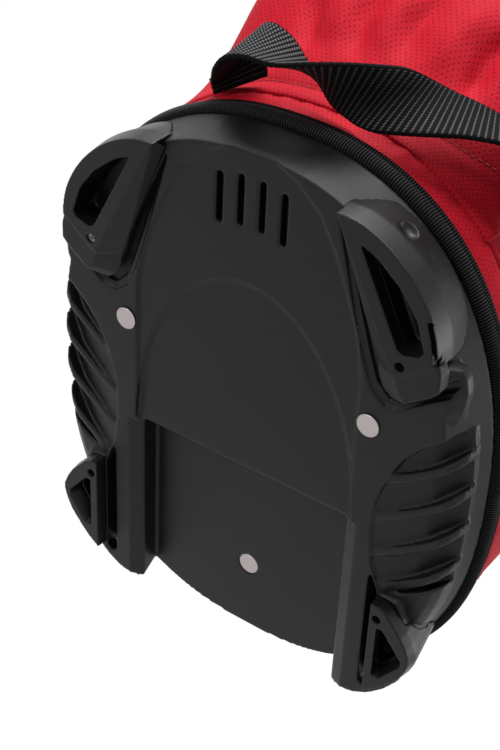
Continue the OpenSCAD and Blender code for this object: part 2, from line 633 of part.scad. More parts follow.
// A slider rides on its zip near the lower end; its pull hangs from a cross pin
slider_start = 22;
slider_gap = 0.15;
slider_h = 15;
slider_w = 11;
lug_t = 3;
slider_t = 3.4;
pin_d = 2;
pin_out = slider_t + 2.2;
pull_l = 38;
pull_w = 8;
pull_t = 2.2;
module at_zip(k, path) {
    u = path[0].x;
    p = pocket_point(k, u, path[0].y + slider_start, zip_lift + zip_t + slider_gap);
    translate(p) rotate([0, 0, facing(k[0] + u * k[1], body_g + k[4])]) children();
}
module slider() color([0.7, 0.7, 0.72]) difference() {
    union() {
        translate([0, 0, -slider_h / 2]) linear_extrude(slider_h) polygon([[0, -slider_w / 2],
            [slider_t - 0.8, -slider_w / 2], [slider_t, 1 - slider_w / 2], [slider_t, slider_w / 2 - 1],
            [slider_t - 0.8, slider_w / 2], [0, slider_w / 2]]);
        translate([0, lug_t / 2, 0]) rotate([90, 0, 0]) linear_extrude(lug_t)
            polygon([[slider_t - eps, -5], [pin_out + 1, -3], [pin_out + 2, 0], [pin_out + 1, 3],
                [slider_t - eps, 5]]);
    }
    translate([pin_out, pull_w / 2, 0]) rotate([90, 0, 0]) cylinder(d = pin_d + 0.1, h = pull_w, $fn = 32);
}
ear_l = 7;
ear_w = 2;
module pull() color([0.05, 0.05, 0.05]) {
    translate([pin_out, pull_w / 2, 0]) rotate([90, 0, 0]) cylinder(d = pin_d, h = pull_w, $fn = 32);
    for (y = [-pull_w / 2, pull_w / 2 - ear_w]) translate([pin_out - pull_t / 2, y, -ear_l])
        cube([pull_t, ear_w, ear_l]);
    translate([pin_out - pull_t / 2, 0, 0]) rotate([90, 0, 90]) linear_extrude(pull_t) polygon([
        [-pull_w / 2, 0.5 - ear_l], [pull_w / 2, 0.5 - ear_l], [pull_w / 2 + 1, -5 - ear_l],
        [pull_w / 2 + 1, 3 - pull_l], [pull_w / 2 - 1, -pull_l], [1 - pull_w / 2, -pull_l],
        [-pull_w / 2 - 1, 3 - pull_l], [-pull_w / 2 - 1, -5 - ear_l]]);
}
module ball_slider() at_zip(ball, ball_path) slider();
module ball_pull() at_zip(ball, ball_path) pull();
module accessory_slider() at_zip(accessory, accessory_path) slider();
module accessory_pull() at_zip(accessory, accessory_path) pull();
module left_slider() at_zip(left, left_path) slider();
module left_pull() at_zip(left, left_path) pull();
module right_slider() at_zip(right, right_path) slider();
module right_pull() at_zip(right, right_path) pull();

// ---- Lower webbing handle ----
// Its two edges, from the left seam through the loop and the twist to the right seam: each point lies
// so far right of the middle, out from the base's pocket-side end and up from the body's lower seam
edge_points_a = [[-54.5, -8.6, -1], [-55, -2.5, -5], [-48, 3.5, -13], [-41, 12.5, -22], [-32, 21.5, -28],
    [-20, 26.5, -31], [-5, 27.5, -32], [9, 30.5, -28], [22, 31.5, -20], [33, 30.5, -10], [39, 25.5, 3],
    [44, 20.5, 12], [51, 15.5, 18], [60, 11.5, 24], [69, 6.5, 29], [78, -0.5, 32], [83, -11.5, 31],
    [86, -23.5, 24], [87, -28.5, 12]];
edge_points_b = [[-31, 4.5, 1], [-31, 13.5, 2], [-35, 20.5, 6], [-34, 26.5, 4], [-26, 29.5, 1],
    [-16, 26.5, -1], [-7, 19.5, -3], [2, 12.5, -5], [10, 7.5, -8], [20, 4.5, -10], [31, 4.5, -12],
    [44, 6.5, -13], [58, 8.5, -9], [71, 9.5, -4], [83, 8.5, 2], [94, 6.5, 9], [103, -5.5, 12],
    [109, -23.5, 13], [108, -43.5, 11]];
function by_the_seam(e) = [for (p = e) [p.x * half_w / drawn_w, -half_l - p.y, body_z + p.z]];
handle_edge_a = by_the_seam(edge_points_a);
handle_edge_b = by_the_seam(edge_points_b);
handle_steps = 3;
// Point of an edge between its stations, on a smooth curve through them
function along_edge(e, t) = let (
    n = len(e) - 1,
    i = min(floor(t), n - 1),
    s = t - i,
    p0 = e[max(i - 1, 0)],
    p1 = e[i],
    p2 = e[i + 1],
    p3 = e[min(i + 2, n)])
    p1 + s * (p2 - p0) / 2 + s * s * (2 * p0 - 5 * p1 + 4 * p2 - p3) / 2
        + s * s * s * (3 * p1 - p0 - 3 * p2 + p3) / 2;
// The webbing between two stations, cut short by trim at both ends
module webbing(from, to, trim = 0) {
    n = (to - from) * handle_steps;
    ts = [for (i = [0:n]) from + i / handle_steps];
    edge_a = [for (t = ts) along_edge(handle_edge_a, t)];
    edge_b = [for (t = ts) along_edge(handle_edge_b, t)];
    spots = (edge_a + edge_b) / 2;
    rings = [for (i = [0:n]) let (
        along = unit(spots[min(i + 1, n)] - spots[max(i - 1, 0)]),
        across = unit(edge_b[i] - edge_a[i]),
        up = unit(cross(along, across)) * webbing_t / 2,
        half = across * webbing_w / 2,
        c = spots[i] + along * (i == 0 ? trim : i == n ? -trim : 0))
        [c - half - up, c + half - up, c + half + up, c - half + up]];
    skin(rings);
}
handle_last = len(handle_edge_a) - 1;
handle_gap = 0.5;
module lower_handle() color([0.07, 0.07, 0.07]) webbing(1, handle_last - 1, handle_gap);
module lower_handle_left_end() color([0.07, 0.07, 0.07]) webbing(0, 1);
module lower_handle_right_end() color([0.07, 0.07, 0.07]) webbing(handle_last - 1, handle_last);

// ---- Spine ----
strip_w = 46;
strip_t = 2;
strip_g = body_g + sew_gap;
function spine_y(g) = half_l + g;
module spine_strip() color([0.08, 0.08, 0.08]) translate([-strip_w / 2, spine_y(strip_g), body_z + 10])
    cube([strip_w, strip_t, tube_top - body_z - 20]);
tab_w = 28;
tab_t = 3;
tab_h = 34;
lower_ring_z = body_z + 150;
upper_ring_z = tube_top - 110;
bar_out = ring_wire_d / 2 + 2;
ring_w = 34;
ring_drop = 26;
tab_y = spine_y(strip_g) + strip_t;
// A folded webbing tab whose lower end holds the ring's bar in a loop
module ring_tab(z) color([0.07, 0.07, 0.07]) difference() {
    union() {
        translate([-tab_w / 2, tab_y, z]) cube([tab_w, tab_t, tab_h]);
        translate([-tab_w / 2, tab_y + bar_out, z]) rotate([0, 90, 0])
            cylinder(d = ring_wire_d + 4, h = tab_w, $fn = 40);
    }
    translate([-tab_w, tab_y + bar_out, z]) rotate([0, 90, 0])
        cylinder(d = ring_wire_d + 0.12, h = 2 * tab_w, $fn = 40);
}
// The ring: a bar through the tab and a bowed wire below it
module d_ring(z) color([0.7, 0.7, 0.72]) translate([0, tab_y + bar_out, z]) {
    translate([-ring_w / 2, 0, 0]) rotate([0, 90, 0]) cylinder(d = ring_wire_d, h = ring_w, $fn = 40);
    for (s = [-1, 1]) translate([s * ring_w / 2, 0, 0]) {
        sphere(d = ring_wire_d, $fn = 32);
        rotate([180, 0, 0]) cylinder(d = ring_wire_d, h = ring_drop - ring_w / 2, $fn = 32);
    }
    translate([0, 0, -(ring_drop - ring_w / 2)]) rotate([90, 0, 0]) rotate([0, 0, 180])
        rotate_extrude(angle = 180, $fn = 60) translate([ring_w / 2, 0]) circle(d = ring_wire_d, $fn = 32);
}
module upper_ring_tab() ring_tab(upper_ring_z);
module upper_ring() d_ring(upper_ring_z);
module lower_ring_tab() ring_tab(lower_ring_z);
module lower_ring() d_ring(lower_ring_z);

// ---- Cuff ----
cuff_out = body_g + 5;
cuff_in = body_g - cloth_t - sew_gap;
cuff_wall = 4;
cuff_sleeve = 26;
socket_d = stay_d + 10;
socket_top = 20;
cuff_lip = [[0, 7], [1.2, 3.5], [3, 1.5], [5.5, 0]];
module top_cuff() color([0.1, 0.1, 0.1]) difference() {
    union() {
        // The rounded lip in steps: how far in, how far below the top
        for (c = cuff_lip) slab(oval(cuff_out - c[0]), cuff_z, bag_h - c[1]);
        slab(oval(cuff_in), cuff_z - cuff_sleeve, cuff_z + 1);
    }
    difference() {
        slab(oval(cuff_in - cuff_wall), cuff_z - cuff_sleeve - 1, bag_h + 1);
        for (p = stay_spots) translate([p.x, p.y, cuff_z - cuff_sleeve - 2])
            cylinder(d = socket_d, h = cuff_sleeve + socket_top, $fn = 40);
    }
    for (p = stay_spots) translate([p.x, p.y, cuff_z - cuff_sleeve - 1])
        cylinder(d = stay_d + 0.3, h = stay_top + 0.3 - cuff_z + cuff_sleeve + 1, $fn = 40);
    grip_rivet_cuts();
    mirror([0, 1, 0]) grip_rivet_cuts();
}
divider_top = bag_h - 8;
divider_y = 34;
divider_g = cuff_in - cuff_wall - sew_gap;
module top_divider() color([0.08, 0.08, 0.08]) difference() {
    intersection() {
        slab(oval(divider_g), divider_top - divider_h, divider_top);
        union() {
            for (y = [-divider_y, divider_y]) translate([-half_w, y - divider_t / 2, 0])
                cube([2 * half_w, divider_t, bag_h]);
            translate([-divider_t / 2, -divider_y, 0]) cube([divider_t, divider_y + stay_spots[2].y, bag_h]);
        }
    }
    for (p = stay_spots) translate([p.x, p.y, 0]) cylinder(d = socket_d + 2 * sew_gap, h = bag_h, $fn = 40);
}

// ---- Grab handles and towel ring on the cuff ----
grip_z = cuff_z + 14;
grip_h = 20;
grip_corner = 18;
// A bow over the width l whose corners have the radius r, reaching out from the bag to y
function bow(l, y, r) = concat([[-l / 2, 0]],
    [for (a = [180:-10:90]) [-l / 2 + r + r * cos(a), y - r + r * sin(a)]],
    [for (a = [90:-10:0]) [l / 2 - r + r * cos(a), y - r + r * sin(a)]], [[l / 2, 0]]);
grip_y = half_l + cuff_out + grip_reach;
module grip() difference() {
    translate([0, 0, grip_z]) linear_extrude(grip_h) difference() {
        polygon(bow(grip_l, grip_y, grip_corner));
        polygon(bow(grip_l - 2 * grip_t, grip_y - grip_t, grip_corner / 2));
        polygon(oval(cuff_out + 0.05));
    }
    grip_rivet_cuts();
}
module grip_rivet_cuts() for (s = [-1, 1]) translate([s * grip_rivet_x, 40, grip_z + grip_h / 2])
    rotate([-90, 0, 0]) cylinder(d = grip_rivet_d + 0.1, h = grip_y - grip_t - 40, $fn = 24);
module spine_grip() color([0.09, 0.09, 0.09]) grip();
module pocket_grip() color([0.09, 0.09, 0.09]) mirror([0, 1, 0]) grip();
grip_rivet_x = grip_l / 2 - grip_t / 2;
grip_rivet_d = 4;
function cuff_y(x, g, n) = (half_l + g) * pow(1 - pow(x / (half_w + g), n), 1 / n);
module grip_rivet(n) {
    y0 = cuff_y(grip_rivet_x, cuff_in - cuff_wall, n) - 3;
    translate([grip_rivet_x, y0, grip_z + grip_h / 2]) rotate([-90, 0, 0])
        cylinder(d = grip_rivet_d, h = cuff_y(grip_rivet_x, cuff_out, n) + 8 - y0, $fn = 24);
}
module grip_rivets() color([0.6, 0.6, 0.62]) on_both_sides() {
    grip_rivet(front_square);
    mirror([0, 1, 0]) grip_rivet(back_square);
}
towel_t = 205;
towel_ring_r = 16;
towel_w = 14;
towel_out = 5;
module at_towel() {
    p = oval_at(towel_t, cuff_out + 0.1);
    translate([p.x, p.y, cuff_z + cuff_h / 2]) rotate([0, 0, facing(towel_t, cuff_out)]) children();
}
module towel_tab() color([0.07, 0.07, 0.07]) at_towel() difference() {
    union() {
        translate([0, -towel_w / 2, -4]) cube([2.5, towel_w, 20]);
        translate([towel_out, towel_w / 2, 0]) rotate([90, 0, 0])
            cylinder(d = ring_wire_d + 5, h = towel_w, $fn = 40);
        translate([0, -towel_w / 2, -4]) cube([4, towel_w, 4]);
    }
    translate([towel_out, towel_w, 0]) rotate([90, 0, 0])
        cylinder(d = ring_wire_d + 0.12, h = 2 * towel_w, $fn = 40);
}
module towel_ring() color([0.7, 0.7, 0.72]) at_towel() translate([towel_out, 0, 0]) {
    translate([0, towel_ring_r, 0]) rotate([90, 0, 0])
        cylinder(d = ring_wire_d, h = 2 * towel_ring_r, $fn = 40);
    for (s = [-1, 1]) translate([0, s * towel_ring_r, 0]) sphere(d = ring_wire_d, $fn = 32);
    rotate([90, 0, 90]) rotate([0, 0, 180]) rotate_extrude(angle = 180, $fn = 60) translate([towel_ring_r, 0])
        circle(d = ring_wire_d, $fn = 32);
}

base_moulding();
rear_foot_left();
rear_foot_right();
front_foot_left();
front_foot_right();
foot_screws();
base_rivets();
rivet_washers();
base_board();
base_pad();
base_binding();
stay_left();
stay_right();
stay_spine();
base_skirt();
body_tube();
ball_pocket();
ball_zip();
ball_slider();
ball_pull();
accessory_pocket();
accessory_zip();
accessory_slider();
accessory_pull();
left_pocket();
left_zip();
left_slider();
left_pull();
right_pocket();
right_zip();
right_slider();
right_pull();
lower_handle();
lower_handle_left_end();
lower_handle_right_end();
spine_strip();
upper_ring_tab();
upper_ring();
lower_ring_tab();
lower_ring();
top_cuff();
top_divider();
spine_grip();
pocket_grip();
grip_rivets();
towel_tab();
towel_ring();
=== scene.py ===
# %% [markdown]
# # A soft golf bag on its moulded base
# The bag stands upright on four feet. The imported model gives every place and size, in metres, so each piece
# here is made where its solid already is. Rigid solids are kept or rounded; cloth is made anew.

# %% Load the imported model
import bpy, bmesh
from math import atan2, copysign, cos, degrees, exp, hypot, pi, radians, sin
from mathutils import Matrix, Vector, noise
from mathutils.bvhtree import BVHTree


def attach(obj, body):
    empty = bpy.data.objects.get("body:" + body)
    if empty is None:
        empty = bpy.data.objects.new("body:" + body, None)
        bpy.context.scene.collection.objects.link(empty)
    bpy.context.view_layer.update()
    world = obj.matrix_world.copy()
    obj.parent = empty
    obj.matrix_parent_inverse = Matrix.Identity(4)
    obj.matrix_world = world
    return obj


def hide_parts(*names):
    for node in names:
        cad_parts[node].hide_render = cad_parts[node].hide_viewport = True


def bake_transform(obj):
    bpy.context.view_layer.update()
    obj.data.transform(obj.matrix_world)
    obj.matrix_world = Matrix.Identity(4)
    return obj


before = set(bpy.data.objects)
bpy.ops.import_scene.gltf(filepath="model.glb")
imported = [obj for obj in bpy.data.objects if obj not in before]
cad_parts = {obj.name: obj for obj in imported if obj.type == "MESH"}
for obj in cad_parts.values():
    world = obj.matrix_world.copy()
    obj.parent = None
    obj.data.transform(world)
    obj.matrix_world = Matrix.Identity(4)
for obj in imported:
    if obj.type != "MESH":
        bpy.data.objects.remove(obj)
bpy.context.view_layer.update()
scene = bpy.context.scene

# %% [markdown]
# ## The camera
# A camera is placed by three directions: what is right, down and ahead in its picture. It looks up at the
# base from the side of the ball pocket, because the moulded base has the most to see.

# %% Place the camera
camera_data = bpy.data.cameras.new("camera")
camera_data.lens = 71.91
camera = bpy.data.objects.new("camera", camera_data)
scene.collection.objects.link(camera)
picture_right = Vector((0.8052, -0.0402, 0.5916))
picture_down = Vector((0.3586, 0.8276, -0.4319))
picture_ahead = Vector((-0.4722, 0.5599, 0.6808))
camera_turn = Matrix((picture_right, -picture_down, -picture_ahead)).transposed().to_4x4()
camera_place = Vector((0.31461, -0.39385, -0.43999))
camera.matrix_world = Matrix.Translation(camera_place) @ camera_turn
scene.camera = camera
scene.view_settings.view_transform = "Standard"
print("camera stands", round(camera.location.length, 3), "m from the middle of the base")

# %% [markdown]
# ## Light and floor
# Black plastic shows its form only by what it mirrors, so the lamps are broad panels, placed where the
# base's slopes mirror them. The world is white for the camera and for mirrored rays, and dim as a light.
# The floor is seen from above only.

# %% Light the studio
WORLD_LIGHT = 0.2


def mixed_world():
    world = bpy.data.worlds.new("studio")
    world.use_nodes = True
    tree = world.node_tree
    tree.nodes.clear()
    out, path, mix, white, soft, seen, any_seen = (tree.nodes.new("ShaderNode" + kind) for kind in (
        "OutputWorld", "LightPath", "MixShader", "Background", "Background", "Math", "Math"))
    for background, strength in ((white, 1.0), (soft, WORLD_LIGHT)):
        background.inputs["Color"].default_value = (1, 1, 1, 1)
        background.inputs["Strength"].default_value = strength
    for either in (seen, any_seen):
        either.operation = "MAXIMUM"
    tree.links.new(path.outputs["Is Camera Ray"], seen.inputs[0])
    tree.links.new(path.outputs["Is Glossy Ray"], seen.inputs[1])
    tree.links.new(seen.outputs[0], any_seen.inputs[0])
    tree.links.new(path.outputs["Is Transmission Ray"], any_seen.inputs[1])
    tree.links.new(any_seen.outputs[0], mix.inputs[0])
    tree.links.new(soft.outputs[0], mix.inputs[1])
    tree.links.new(white.outputs[0], mix.inputs[2])
    tree.links.new(mix.outputs[0], out.inputs["Surface"])
    return world


def soft_lamp(name, place, aim, size, power):
    data = bpy.data.lights.new(name, "AREA")
    data.shape = "RECTANGLE"
    data.size, data.size_y = size
    data.energy = power
    lamp = bpy.data.objects.new(name, data)
    scene.collection.objects.link(lamp)
    lamp.location = place
    lamp.rotation_euler = (Vector(aim) - Vector(place)).to_track_quat("-Z", "Y").to_euler()


scene.world = mixed_world()
soft_lamp("key", place=(-0.3, -1.4, 0.8), aim=(0, -0.1, 0.05), size=(1.0, 0.5), power=22)
soft_lamp("side", place=(0.55, -1.45, 0.4), aim=(0, -0.1, 0.05), size=(0.4, 0.4), power=9)
soft_lamp("rim", place=(1.2, 0.3, 0.9), aim=(0, 0, 0.05), size=(0.5, 0.5), power=8)
soft_lamp("low", place=(-0.5, -1.2, -0.9), aim=(0, 0, 0.02), size=(0.25, 0.25), power=6)

# %% Lay the floor
def floor_finish():
    finish = bpy.data.materials.new("pale_floor")
    finish.use_nodes = True
    tree = finish.node_tree
    tree.nodes.clear()
    out, path, mix, side, from_above, clear, pale = (tree.nodes.new("ShaderNode" + kind) for kind in (
        "OutputMaterial", "LightPath", "MixShader", "NewGeometry", "Math", "BsdfTransparent", "BsdfDiffuse"))
    from_above.operation = "SUBTRACT"
    from_above.use_clamp = True
    pale.inputs["Color"].default_value = (0.9, 0.9, 0.9, 1)
    tree.links.new(path.outputs["Is Camera Ray"], from_above.inputs[0])
    tree.links.new(side.outputs["Backfacing"], from_above.inputs[1])
    tree.links.new(from_above.outputs[0], mix.inputs[0])
    tree.links.new(clear.outputs[0], mix.inputs[1])
    tree.links.new(pale.outputs[0], mix.inputs[2])
    tree.links.new(mix.outputs[0], out.inputs["Surface"])
    return finish


FLOOR_REACH, FLOOR_DROP = 4, 0.0006
floor_shape = bmesh.new()
bmesh.ops.create_grid(floor_shape, x_segments=2, y_segments=2, size=FLOOR_REACH)
floor_mesh = bpy.data.meshes.new("floor")
floor_shape.to_mesh(floor_mesh)
floor_shape.free()
floor_mesh.transform(Matrix.Translation((0, 0, -FLOOR_DROP)))
floor_mesh.materials.append(floor_finish())
studio_floor = bpy.data.objects.new("floor", floor_mesh)
scene.collection.objects.link(studio_floor)
print("floor:", [round(v, 2) for v in studio_floor.dimensions])

# %% [markdown]
# ## The oval
# The whole bag follows one oval, blunter on the spine side than on the pocket side. Everything that runs
# round the bag is spun as a plain circle and then pressed to this oval at an even pace along it, so that
# ribs and stitches stay evenly spaced. The same even pace gives the weave its place on the cloth.

# %% The oval and its even pace
HALF_W, HALF_L = 0.114, 0.1345
POCKET_SQUARE, SPINE_SQUARE = 2.3, 2.45


def oval(turn, grow=0.0, height=0.0):
    c, s = cos(radians(turn)), sin(radians(turn))
    power = 2 / (POCKET_SQUARE if s < 0 else SPINE_SQUARE)
    return Vector((copysign((HALF_W + grow) * abs(c) ** power, c),
                   copysign((HALF_L + grow) * abs(s) ** power, s), height))


def oval_facing(turn, grow=0.0):
    spot = oval(turn, grow)
    square = POCKET_SQUARE if sin(radians(turn)) < 0 else SPINE_SQUARE
    return Vector((copysign(abs(spot.x) ** (square - 1) / (HALF_W + grow) ** square, spot.x),
                   copysign(abs(spot.y) ** (square - 1) / (HALF_L + grow) ** square, spot.y), 0)).normalized()


def turn_of(spot):
    """The oval's turn, in degrees from 0 to 360, that a point lies at."""
    square = POCKET_SQUARE if spot.y < 0 else SPINE_SQUARE
    c = copysign((abs(spot.x) / HALF_W) ** (square / 2), spot.x)
    s = copysign((abs(spot.y) / HALF_L) ** (square / 2), spot.y)
    return degrees(atan2(s, c)) % 360


PACE_STEPS = 1440
pace = [0.0]
for step in range(PACE_STEPS):
    gap = oval((step + 1) * 360 / PACE_STEPS) - oval(step * 360 / PACE_STEPS)
    pace.append(pace[-1] + gap.length)
GIRTH = pace[-1]


def length_at(turn):
    place = (turn % 360) / 360 * PACE_STEPS
    low = int(place)
    return pace[low] + (place - low) * (pace[min(low + 1, PACE_STEPS)] - pace[low])


def turn_at(length):
    length %= GIRTH
    low, high = 0, PACE_STEPS
    while high - low > 1:
        middle = (low + high) // 2
        low, high = (middle, high) if pace[middle] <= length else (low, middle)
    return (low + (length - pace[low]) / (pace[low + 1] - pace[low])) * 360 / PACE_STEPS


print("girth of the bag:", round(GIRTH, 4), "m")

# %% [markdown]
# ## Making pieces
# A finished piece is a mesh whose object stays at the origin. These helpers turn a bmesh into such a piece,
# give it its finish, and say which body it rides on and which solids it stands for.

# %% Finish a piece
MERGE_GAP = 2e-6


def as_piece(name, shape, finish):
    mesh = bpy.data.meshes.new(name)
    shape.to_mesh(mesh)
    shape.free()
    mesh.materials.append(finish)
    for face in mesh.polygons:
        face.use_smooth = True
        face.material_index = 0
    piece = bpy.data.objects.new(name, mesh)
    scene.collection.objects.link(piece)
    return piece


def settle(piece, nodes=()):
    """A finished piece of the bag itself and the solids it stands for."""
    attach(piece, "bag")
    if nodes:
        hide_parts(*nodes)
    print(f"{piece.name}: {len(piece.data.polygons)} faces")
    return piece


def applied(piece):
    """The piece with its modifiers worked into its mesh."""
    bpy.context.view_layer.update()
    graph = bpy.context.evaluated_depsgraph_get()
    done = bpy.data.meshes.new_from_object(piece.evaluated_get(graph))
    piece.modifiers.clear()
    old = piece.data
    done.name = old.name + "_done"
    piece.data = done
    bpy.data.meshes.remove(old)
    for face in done.polygons:
        face.use_smooth = True
    return piece


def thickened(piece, wall, offset=-1):
    """Gives a flat piece its wall, inward from its face unless the offset says otherwise."""
    solid = piece.modifiers.new("wall", "SOLIDIFY")
    solid.thickness = wall
    solid.offset = offset


def rounded(name, node, finish, voxel, passes, share=1.0):
    """A copy of a solid with its edges worn round, and only a share of its faces kept."""
    shape = bmesh.new()
    shape.from_mesh(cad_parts[node].data)
    bmesh.ops.remove_doubles(shape, verts=shape.verts, dist=MERGE_GAP)
    piece = as_piece(name, shape, finish)
    remesh = piece.modifiers.new("remesh", "REMESH")
    remesh.mode = "VOXEL"
    remesh.voxel_size = voxel
    remesh.use_smooth_shade = True
    soften = piece.modifiers.new("soften", "SMOOTH")
    soften.factor = 0.5
    soften.iterations = passes
    if share < 1:
        thin = piece.modifiers.new("thin", "DECIMATE")
        thin.ratio = share
    return applied(piece)


def spun_round(profile, steps, closed):
    """A line of (growth, height) points spun round the bag and pressed to its oval."""
    shape = bmesh.new()
    line = [shape.verts.new((1 + grow, 0, height)) for grow, height in profile]
    edges = [shape.edges.new(pair) for pair in zip(line, line[1:])]
    if closed:
        edges.append(shape.edges.new((line[-1], line[0])))
    bmesh.ops.spin(shape, geom=line + edges, cent=(0, 0, 0), axis=(0, 0, 1), angle=2 * pi, steps=steps,
                   use_merge=True, use_duplicate=False)
    for vert in shape.verts:
        share = (atan2(vert.co.y, vert.co.x) / (2 * pi)) % 1
        vert.co = oval(turn_at(share * GIRTH), hypot(vert.co.x, vert.co.y) - 1, vert.co.z)
    bmesh.ops.recalc_face_normals(shape, faces=shape.faces)
    return shape


def weave_map(mesh):
    """A UV map in metres: along the oval, and up the bag."""
    layer = mesh.uv_layers.new(name="weave")
    places = [(length_at(turn_of(vert.co)), vert.co.z) for vert in mesh.vertices]
    for face in mesh.polygons:
        first = places[mesh.loops[face.loop_start].vertex_index][0]
        for index in face.loop_indices:
            u, v = places[mesh.loops[index].vertex_index]
            if u - first > GIRTH / 2:
                u -= GIRTH
            elif first - u > GIRTH / 2:
                u += GIRTH
            layer.data[index].uv = (u, v)


test_ring = spun_round([(0, 0), (0, 0.01)], 8, closed=False)
print("a test ring of eight steps has", len(test_ring.faces), "faces")
test_ring.free()

# %% [markdown]
# ## Finishes
# Every finish is a Principled shader with a pattern of its own at its real size. Plastic has a fine moulded
# grain and slightly uneven gloss. Cloth has its threads and pin dots laid out on the weave map, with a
# painted highlight on the threads' crowns; ribbed bands have painted highlights on their ribs.

# %% A finish and its nodes
class Finish:
    """A new material with short ways to add and join its nodes."""

    def __init__(self, name, colour, roughness, metallic=0.0, specular=0.5):
        self.material = bpy.data.materials.new(name)
        self.material.use_nodes = True
        self.tree = self.material.node_tree
        self.shader = self.tree.nodes["Principled BSDF"]
        for socket, value in (("Base Color", (*colour, 1)), ("Roughness", roughness), ("Metallic", metallic),
                              ("Specular IOR Level", specular)):
            self.shader.inputs[socket].default_value = value

    def add(self, kind, **values):
        """A new node; each value goes to its socket of that name, or else to its setting."""
        node = self.tree.nodes.new("ShaderNode" + kind)
        for key, value in values.items():
            if key in node.inputs:
                node.inputs[key].default_value = value
            else:
                setattr(node, key, value)
        return node

    def join(self, start, end):
        self.tree.links.new(start, end)

    def drive(self, socket, value):
        """Lets a pattern set one of the shader's own sockets."""
        self.join(value, self.shader.inputs[socket])

    def places(self, size, uv=False):
        """Coordinates on the piece, or on its weave map, with one unit for each size in metres."""
        if uv:
            source = self.add("UVMap", uv_map="weave").outputs["UV"]
        else:
            source = self.add("TexCoord").outputs["Object"]
        scaled = self.add("Mapping", Scale=tuple(1 / s for s in size))
        self.join(source, scaled.inputs["Vector"])
        return scaled.outputs["Vector"]

    def speckle(self, size, detail):
        """Noise all over the piece, in spots of this size."""
        node = self.add("TexNoise", Detail=detail)
        self.join(self.places(size), node.inputs["Vector"])
        return node.outputs["Fac"]

    def between(self, value, low, high, start, end):
        """The value, with its span from low to high laid on the one from start to end."""
        span = self.add("MapRange", **{"From Min": low, "From Max": high, "To Min": start, "To Max": end})
        self.join(value, span.inputs["Value"])
        return span.outputs["Result"]

    def ramp(self, value, stops):
        """A colour that runs from the first stop to the second."""
        node = self.add("ValToRGB")
        for element, (place, colour) in zip(node.color_ramp.elements, stops):
            element.position = place
            element.color = (*colour, 1)
        self.join(value, node.inputs["Fac"])
        return node.outputs["Color"]

    def bump(self, height, depth, strength=1.0, under=None):
        node = self.add("Bump", Strength=strength, Distance=depth)
        self.join(height, node.inputs["Height"])
        if under:
            self.join(under, node.inputs["Normal"])
        self.drive("Normal", node.outputs["Normal"])
        return node.outputs["Normal"]


PLASTIC_PATCH = (0.05, 0.05, 0.05)
SCRATCH = (0.0004, 0.006, 0.0008)


def moulded_plastic(name, colour, gloss, grain=0.00045, depth=0.00004):
    """Satin polypropylene: a fine grain, and gloss and shade that vary in patches."""
    finish = Finish(name, colour, gloss, specular=0.2)
    fine = finish.speckle((grain,) * 3, 2.0)
    broad = finish.speckle(PLASTIC_PATCH, 3.0)
    finish.drive("Roughness", finish.between(broad, 0.3, 0.7, gloss - 0.04, gloss + 0.05))
    shades = [(0.3, tuple(0.88 * c for c in colour)), (0.7, tuple(1.12 * c for c in colour))]
    finish.drive("Base Color", finish.ramp(broad, shades))
    finish.bump(fine, depth)
    return finish.material


def brushed_metal(name, colour, gloss):
    """Metal with short fine scratches."""
    finish = Finish(name, colour, gloss, metallic=1.0)
    scratches = finish.speckle(SCRATCH, 4.0)
    finish.drive("Roughness", finish.between(scratches, 0.3, 0.7, gloss - 0.07, gloss + 0.1))
    shades = [(0.35, tuple(0.8 * c for c in colour)), (0.65, colour)]
    finish.drive("Base Color", finish.ramp(scratches, shades))
    finish.bump(scratches, depth=0.00003)
    return finish.material


base_plastic = moulded_plastic("base_plastic", (0.0085, 0.0085, 0.0093), 0.36)
foot_plastic = moulded_plastic("foot_plastic", (0.0095, 0.0093, 0.0103), 0.33)
cuff_plastic = moulded_plastic("cuff_plastic", (0.014, 0.014, 0.015), 0.4)
pull_plastic = moulded_plastic("pull_plastic", (0.012, 0.012, 0.013), 0.42)
board_plastic = moulded_plastic("board_plastic", (0.08, 0.08, 0.08), 0.5)
grip_rubber = moulded_plastic("grip_rubber", (0.02, 0.02, 0.021), 0.6, grain=0.0012, depth=0.00012)
rivet_nickel = brushed_metal("rivet_nickel", (0.46, 0.41, 0.41), 0.4)
plain_steel = brushed_metal("plain_steel", (0.55, 0.55, 0.57), 0.35)
dull_zinc = brushed_metal("dull_zinc", (0.3, 0.29, 0.29), 0.45)
satin_aluminium = brushed_metal("satin_aluminium", (0.72, 0.72, 0.75), 0.3)
print("plain finishes:", len(bpy.data.materials))

# %% Woven cloth with pin dots
DOT_ALONG, DOT_ROWS, DOT_DEPTH = 0.0023, 0.0019, 0.00016
THREAD_PITCH, THREAD_DEPTH = 0.00075, 0.00007
CLOTH_PATCH = (0.03, 0.03, 0.03)


